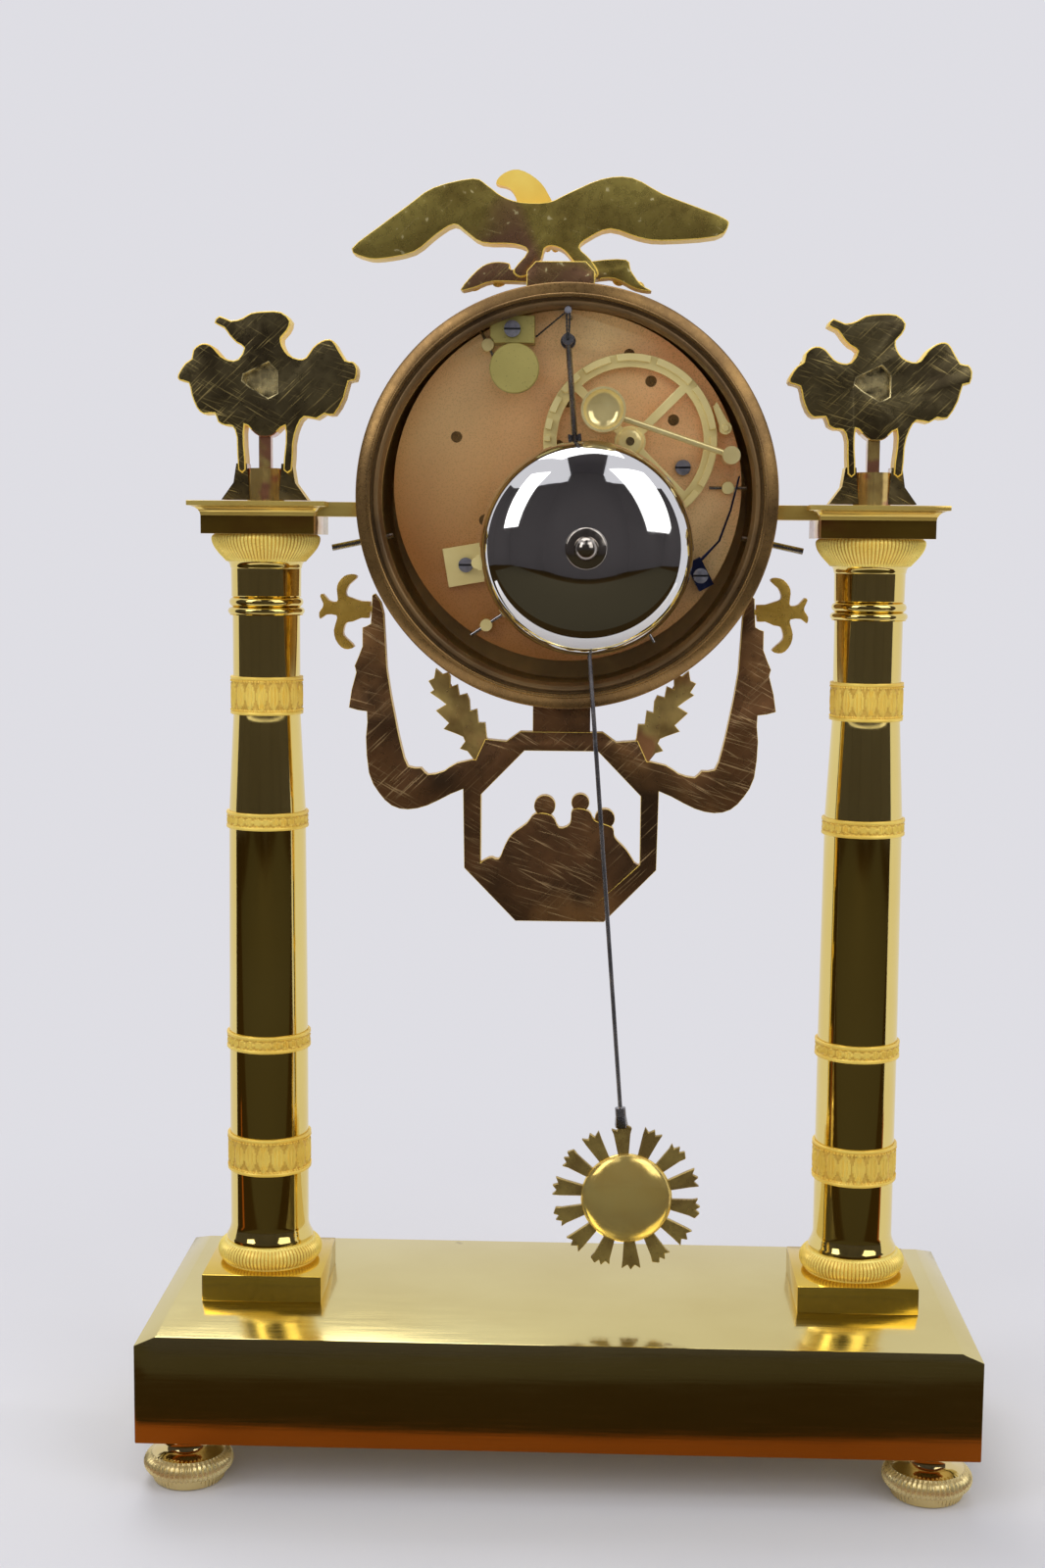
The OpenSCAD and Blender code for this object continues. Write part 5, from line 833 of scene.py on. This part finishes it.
def stroke(angle, radius, a, b, width):
    up = Vector((math.sin(angle), 0.0, math.cos(angle)))
    right = Vector((math.cos(angle), 0.0, -math.sin(angle)))
    ends = [up * (radius + p[1]) + right * p[0] for p in (a, b)]
    run = ends[1] - ends[0]
    across = run.cross(Vector((0, 1, 0))).normalized()
    lay = Matrix((run.normalized(), (0, 1, 0), across)).transposed().to_4x4()
    middle = (ends[0] + ends[1]) / 2 + Vector((0, dial_face, drum_z))
    bmesh.ops.create_cube(numerals, size=1.0, matrix=Matrix.Translation(middle * mm) @ lay
                          @ Matrix.Diagonal((run.length * mm, 0.08 * mm, width * mm, 1)))


for hour, word in enumerate(("XII", "I", "II", "III", "IIII", "V", "VI", "VII", "VIII", "IX", "X", "XI")):
    x = -sum(widths[c] for c in word) / 2
    for c in word:
        middle = x + widths[c] / 2
        left, right = (middle - slant, numeral_half), (middle + slant, numeral_half)
        if c == "I":
            bars = [((middle, -numeral_half), (middle, numeral_half), thick_bar)]
        elif c == "V":
            bars = [(left, (middle, -numeral_half), thick_bar), (right, (middle, -numeral_half), thin_bar)]
        else:
            bars = [(left, (middle + slant, -numeral_half), thick_bar),
                    (right, (middle - slant, -numeral_half), thin_bar)]
        for end in (-numeral_half, numeral_half):
            bars.append(((middle - widths[c] / 2 + 0.15, end), (middle + widths[c] / 2 - 0.15, end),
                         serif_bar))
        for a, b, width in bars:
            stroke(math.tau * hour / 12, numeral_r, a, b, width)
        x += widths[c]
for minute in range(60):
    stroke(math.tau * minute / 60, track_r, (0, -1.0), (0, 1.0), 0.8 if minute % 5 == 0 else 0.35)
for radius in (track_r - 1.0, track_r + 1.0):
    add_turned(numerals, [(radius, dial_face), (radius, dial_face - 0.04), (radius + 0.3, dial_face - 0.04),
                          (radius + 0.3, dial_face)], drum_axis, 128, axis="Y")
set_piece(numerals, "dial_numerals", "case", [black_enamel])
holes = bmesh.new()
winding_x, winding_z = 24.5, -6.5
for x in (winding_x, -winding_x):
    add_turned(holes, [(3.5, -36.2), (3.5, -37.7), (3.8, -38.0), (4.6, -37.9), (4.9, -37.5), (4.1, -37.4),
                       (4.1, -36.2)], (x * mm, 0.0, (drum_z + winding_z) * mm), 48, axis="Y")
set_piece(holes, "winding_hole_rings", "case", [gilt_polished], edge=50.0)
set_broken("minute_hand", 0.15, 1, "minute_hand_blued", "minute_arbor", blued_steel)
set_broken("hour_hand", 0.15, 1, "hour_hand_blued", "hour_pipe", blued_steel)

# Movement: two brass plates on four pillars hold the going train and the strike train.
# Steel screws and taper pins fasten what sits behind the back plate.
wheel_brass = metal_finish(
    "wheel_brass", (0.86, 0.70, 0.34), (0.76, 0.58, 0.26), 50.0, 0.12, 0.24, 1200.0, 0.04)
# The back plate carries painted light and shade: it is paler towards its top and its -x side, painted light
# where the drum's wall shades it, and darker orange-brown towards its lower +x side, painted shade. Its orange
# patches are a painted warm reflection.
back_brass_painted_light = metal_finish(
    "back_brass_painted_light", (1.0, 0.88, 0.42), (0.92, 0.76, 0.34), 16.0, 0.24, 0.34, 2600.0, 0.012, metal=0.2,
    bloom_and_reflection=((0.92, 0.40, 0.16), 15.0, 0.20, 0.72),
    painted_shade=((0.40, 0.17, 0.045), (0.6, 0.0, -0.8), -0.285, -0.195))
pale_brass = metal_finish(
    "pale_brass", (0.47, 0.40, 0.12), (0.38, 0.32, 0.09), 60.0, 0.26, 0.40, 1500.0, 0.06, metal=0.35)
count_brass = metal_finish(
    "count_brass", (0.96, 0.82, 0.37), (0.84, 0.68, 0.28), 60.0, 0.16, 0.26, 3000.0, 0.01, metal=0.3)
hammer_brass = metal_finish(
    "hammer_brass", (0.90, 0.76, 0.36), (0.78, 0.62, 0.26), 90.0, 0.10, 0.20, 2000.0, 0.01, metal=0.6)
screw_steel = metal_finish(
    "screw_steel", (0.46, 0.46, 0.52), (0.26, 0.26, 0.31), 500.0, 0.12, 0.26, 1500.0, 0.06, metal=0.7)
dark_steel = metal_finish(
    "dark_steel", (0.27, 0.26, 0.27), (0.14, 0.14, 0.16), 160.0, 0.18, 0.34, 900.0, 0.05, metal=0.8)
dress(plate_brass, "front_plate")
set_broken("back_plate", 0.2, 2, "movement_back", "case", back_brass_painted_light)
for name, piece, body, slot, finish, width in (
        ("pillars", "plate_pillars", "case", "plate_brass", count_brass, 0.15),
        ("suspension_cock", "silk_cock", "case", "plate_brass", pale_brass, 0.3),
        ("silk_roller", "take_up_roller", "roller", "plate_brass", pale_brass, 0.3),
        ("bell_stand", "bell_bracket", "case", "plate_brass", count_brass, 0.2),
        ("hammer", "cup_hammer", "hammer_arbor", "plate_brass", hammer_brass, 0.12),
        ("count_wheel", "strike_count_wheel", "count_arbor", "wheel_brass", count_brass, 0.12),
        ("hammer_spring", "blued_spring", "case", "blued_steel", blued_steel, 0.12),
        ("crutch", "steel_crutch", "pallet_arbor", "steel", steel, 0.1),
        ("detent_lever", "count_finger", "detent_arbor", "steel", count_brass, 0.1)):
    set_broken(name, width, 1, piece, body, finish)
screws = broken_copy("movement_screws", 0.2, 2)
heads = [f.calc_center_median() for f in screws.faces if f.normal.y > 0.9]
# Faces inside each screw's slot take black enamel: painted shade in the slot.
for face in screws.faces:
    for gap in [(head - face.calc_center_median()) / mm for head in heads]:
        if 0.3 < gap.y < 0.7 and math.hypot(gap.x, gap.z) < 2.2:
            face.material_index = 1
set_piece(screws, "slotted_screws", "case", [screw_steel, black_enamel], ["movement_screws"],
          turned=False)
sinks = bmesh.new()
for x, z in ((2.78, 15.6), (0.0, 28.5), (-31.2, 23.3), (-24.4, 34.6), (-17.9, 42.3), (winding_x, winding_z),
             (-winding_x, winding_z), (33, 18)):
    add_turned(sinks, [(0.0, 6.12), (0.7, 6.1), (0.8, 6.03), (1.5, 6.06), (1.7, 6.0), (1.7, 5.9), (0.0, 5.9)],
               (x * mm, 0.0, (drum_z + z) * mm), 24, axis="Y")
set_piece(sinks, "oil_sinks", "case", [drum_brass])
dress(steel, "cannon_pinion", "pallets", "going_winding_arbor", "strike_winding_arbor", "going_click",
      "strike_click")
dress(blued_steel, "click_springs", "going_mainspring", "strike_mainspring")
dress(wheel_brass, "center_wheel", "hour_wheel", "minute_wheel", "third_wheel", "escape_wheel",
      "second_wheel", "going_barrel", "strike_barrel", "strike_second_wheel", "pin_wheel", "locking_wheel",
      "fly")

# Bell: a thin polished cup of bell metal with a lipped mouth, on a stud behind the plate.
# A washer and a domed nut hold it.
bell_metal = metal_finish("bell_metal", (0.82, 0.82, 0.81), (0.77, 0.77, 0.77), 20.0, 0.03, 0.06, 300.0, 0.01)
nut_metal = metal_finish("nut_metal", (0.50, 0.46, 0.42), (0.38, 0.34, 0.30), 90.0, 0.12, 0.22, 900.0, 0.03)
bell_axis = (-6.0 * mm, 0.0, (drum_z - 14.6) * mm)
cup_in, cup_out, cup_lip, stud_r, bell_top = 29.2, 30.6, 30.75, 1.9, 42.8


def cup_line(radius, rise, angles):
    return [(radius * max(0.0, math.cos(math.radians(a))) ** 0.8, 29.3 + rise * math.sin(math.radians(a)))
            for a in angles]


cup = bmesh.new()
turn(cup, [(cup_in, 27.8), (30.3, 27.8), (cup_lip, 28.2), (cup_lip, 28.9)]
     + cup_line(cup_out, 13.5, range(0, 87, 2)) + [(stud_r, bell_top), (stud_r, 41.4)]
     + cup_line(cup_in, 12.1, range(84, -1, -2)), bell_axis, "Y", 160)
set_piece(cup, "bell_cup", "case", [bell_metal], ["bell"], 50.0)
nut = bmesh.new()
turn(nut, [(stud_r, bell_top), (6.0, bell_top), (5.9, 43.4), (5.4, 43.7), (3.7, 43.8)]
     + arc(0, 43.0, 3.6, 14, 90, 10) + [(0.0, 44.0)], bell_axis, "Y", 64)
set_piece(nut, "bell_cap_nut", "case", [nut_metal], ["bell_nut"], 50.0)

# Pendulum: a thin steel rod that hangs from a loop of black silk and carries a sunburst bob.
# The silk runs from a brass cock over a stud, and the roller takes it up.
silk = metal_finish(
    "silk", (0.03, 0.03, 0.03), (0.015, 0.015, 0.015), 900.0, 0.6, 0.8, 4000.0, 0.3, metal=0.0)
pivot_z, swing_y, rod_len, rest_lean = drum_z + 45.0, 23.5, 253.8, 4.57
ply_r, ply_off, ply_step, ply_twist = 0.17, 0.14, 0.3, 3.2
strand_paths = ([(9.5, 13.0, 46.6), (0.5, 22.0, 53.0), (0.25, 22.0, 45.4), (0.0, 22.0, 45.1),
                 (0.0, 25.0, 45.1), (0.25, 25.0, 45.4), (0.5, 25.0, 53.0)],
                [(-0.5, 25.0, 53.0), (-0.25, 25.0, 45.4), (0.0, 24.6, 45.1), (-0.25, 22.0, 45.4),
                 (-0.5, 22.0, 53.0)])
thread_curve = bpy.data.curves.new("silk_path", "CURVE")
thread_curve.dimensions = "3D"
thread_curve.bevel_depth = ply_r * mm
thread_curve.bevel_resolution = 1
thread_curve.use_fill_caps = True
for path in strand_paths:
    for ply in (0.0, math.pi):
        spots = []
        travelled = 0.0
        for a, b in zip(path, path[1:]):
            a, run = Vector(a), Vector(b) - Vector(a)
            count = max(2, int(run.length / ply_step))
            side_way = run.cross(Vector((0.3, 0.2, 1.0))).normalized()
            other_way = run.cross(side_way).normalized()
            for k in range(count):
                twist = (travelled + run.length * k / count) * ply_twist + ply
                aside = (side_way * math.cos(twist) + other_way * math.sin(twist)) * ply_off
                spots.append((a + run * k / count + aside + Vector((0, 0, drum_z))) * mm)
            travelled += run.length
        line = thread_curve.splines.new("POLY")
        line.points.add(len(spots) - 1)
        for point, spot in zip(line.points, spots):
            point.co = (*spot, 1.0)
thread_object = bpy.data.objects.new("silk_path", thread_curve)
scene.collection.objects.link(thread_object)
drawn = thread_object.evaluated_get(bpy.context.evaluated_depsgraph_get())
thread_mesh = bpy.data.meshes.new_from_object(drawn)
bpy.data.objects.remove(thread_object)
thread = bmesh.new()
thread.from_mesh(thread_mesh)
bpy.data.meshes.remove(thread_mesh)
set_piece(thread, "silk_suspension", "case", [silk], ["silk_thread"], 60.0)

bob_gilt = metal_finish(
    "bob_gilt", (0.92, 0.72, 0.24), (0.86, 0.60, 0.16), 60.0, 0.14, 0.24, 700.0, 0.03, metal=0.8)
ray_brass = metal_finish(
    "ray_brass", (0.54, 0.40, 0.12), (0.34, 0.23, 0.07), 140.0, 0.24, 0.42, 1100.0, 0.16, metal=0.75)
swing = (Matrix.Translation((0, 0, pivot_z * mm)) @ Matrix.Rotation(math.radians(rest_lean), 4, "Y")
         @ Matrix.Translation((0, 0, -pivot_z * mm)))
set_broken("pendulum_rod", 0.0, 2, "steel_rod", "pendulum", dark_steel)
bob_axis = (0.0, 0.0, (pivot_z - rod_len) * mm)
dome = bmesh.new()
rear = [(13.7 * math.cos(math.radians(a)), swing_y + 1.0 + 4.4 * math.sin(math.radians(a)))
        for a in range(84, -1, -6)]
front = [(12.6 * math.sin(math.radians(a)), swing_y - 0.4 - 2.6 * math.cos(math.radians(a)))
         for a in range(80, -1, -10)]
turn(dome, [(0.0, swing_y + 5.4)] + rear + [(13.4, swing_y + 0.4), (12.6, swing_y - 0.4)] + front, bob_axis,
     "Y", 96)
bmesh.ops.transform(dome, matrix=swing, verts=dome.verts)
set_piece(dome, "bob_dome", "pendulum", [bob_gilt], ["pendulum_bob"], 40.0)
rays = bmesh.new()
ray_count, ray_foot, ray_thick = 14, 12.4, 1.5
ray_ends = (
    [(19.6, -2.5), (21.3, -3.1), (20.7, -1.5), (22.4, -0.7), (21, 0.4), (22.5, 1.3), (21.2, 3.1), (19.4, 2.5)],
    [(19.8, -2.6), (22.2, -2.8), (21, -1.2), (22.5, 0.2), (20.8, 1.0), (21.9, 2.9), (19.2, 2.4)])
for k in range(ray_count):
    flat = bmesh.new()
    outline = [(ray_foot, -1.5)] + ray_ends[k % 2] + [(ray_foot, 1.5)]
    face = flat.faces.new([flat.verts.new((r * mm, 0.0, w * mm)) for r, w in outline])
    push_out(flat, [face], (0, ray_thick * mm, 0))
    bmesh.ops.recalc_face_normals(flat, faces=flat.faces)
    round_edges(flat, 0.2 * mm, 1)
    place = Matrix.Translation((0, (swing_y - 0.6) * mm, bob_axis[2]))
    place = place @ Matrix.Rotation(math.tau * (k + 0.5) / ray_count, 4, "Y")
    bmesh.ops.transform(flat, matrix=swing @ place, verts=flat.verts)
    add_part(rays, flat)
set_piece(rays, "bob_rays", "pendulum", [ray_brass], ["pendulum_bob"])
socket = bmesh.new()
add_turned(socket, [(0.7, 21.6), (1.9, 21.6), (2.0, 22.4), (1.7, 24.6), (1.0, 27.6), (0.7, 27.8)],
           (0.0, swing_y * mm, bob_axis[2]), 24)
bmesh.ops.transform(socket, matrix=swing, verts=socket.verts)
set_piece(socket, "bob_socket", "pendulum", [steel], edge=40.0)
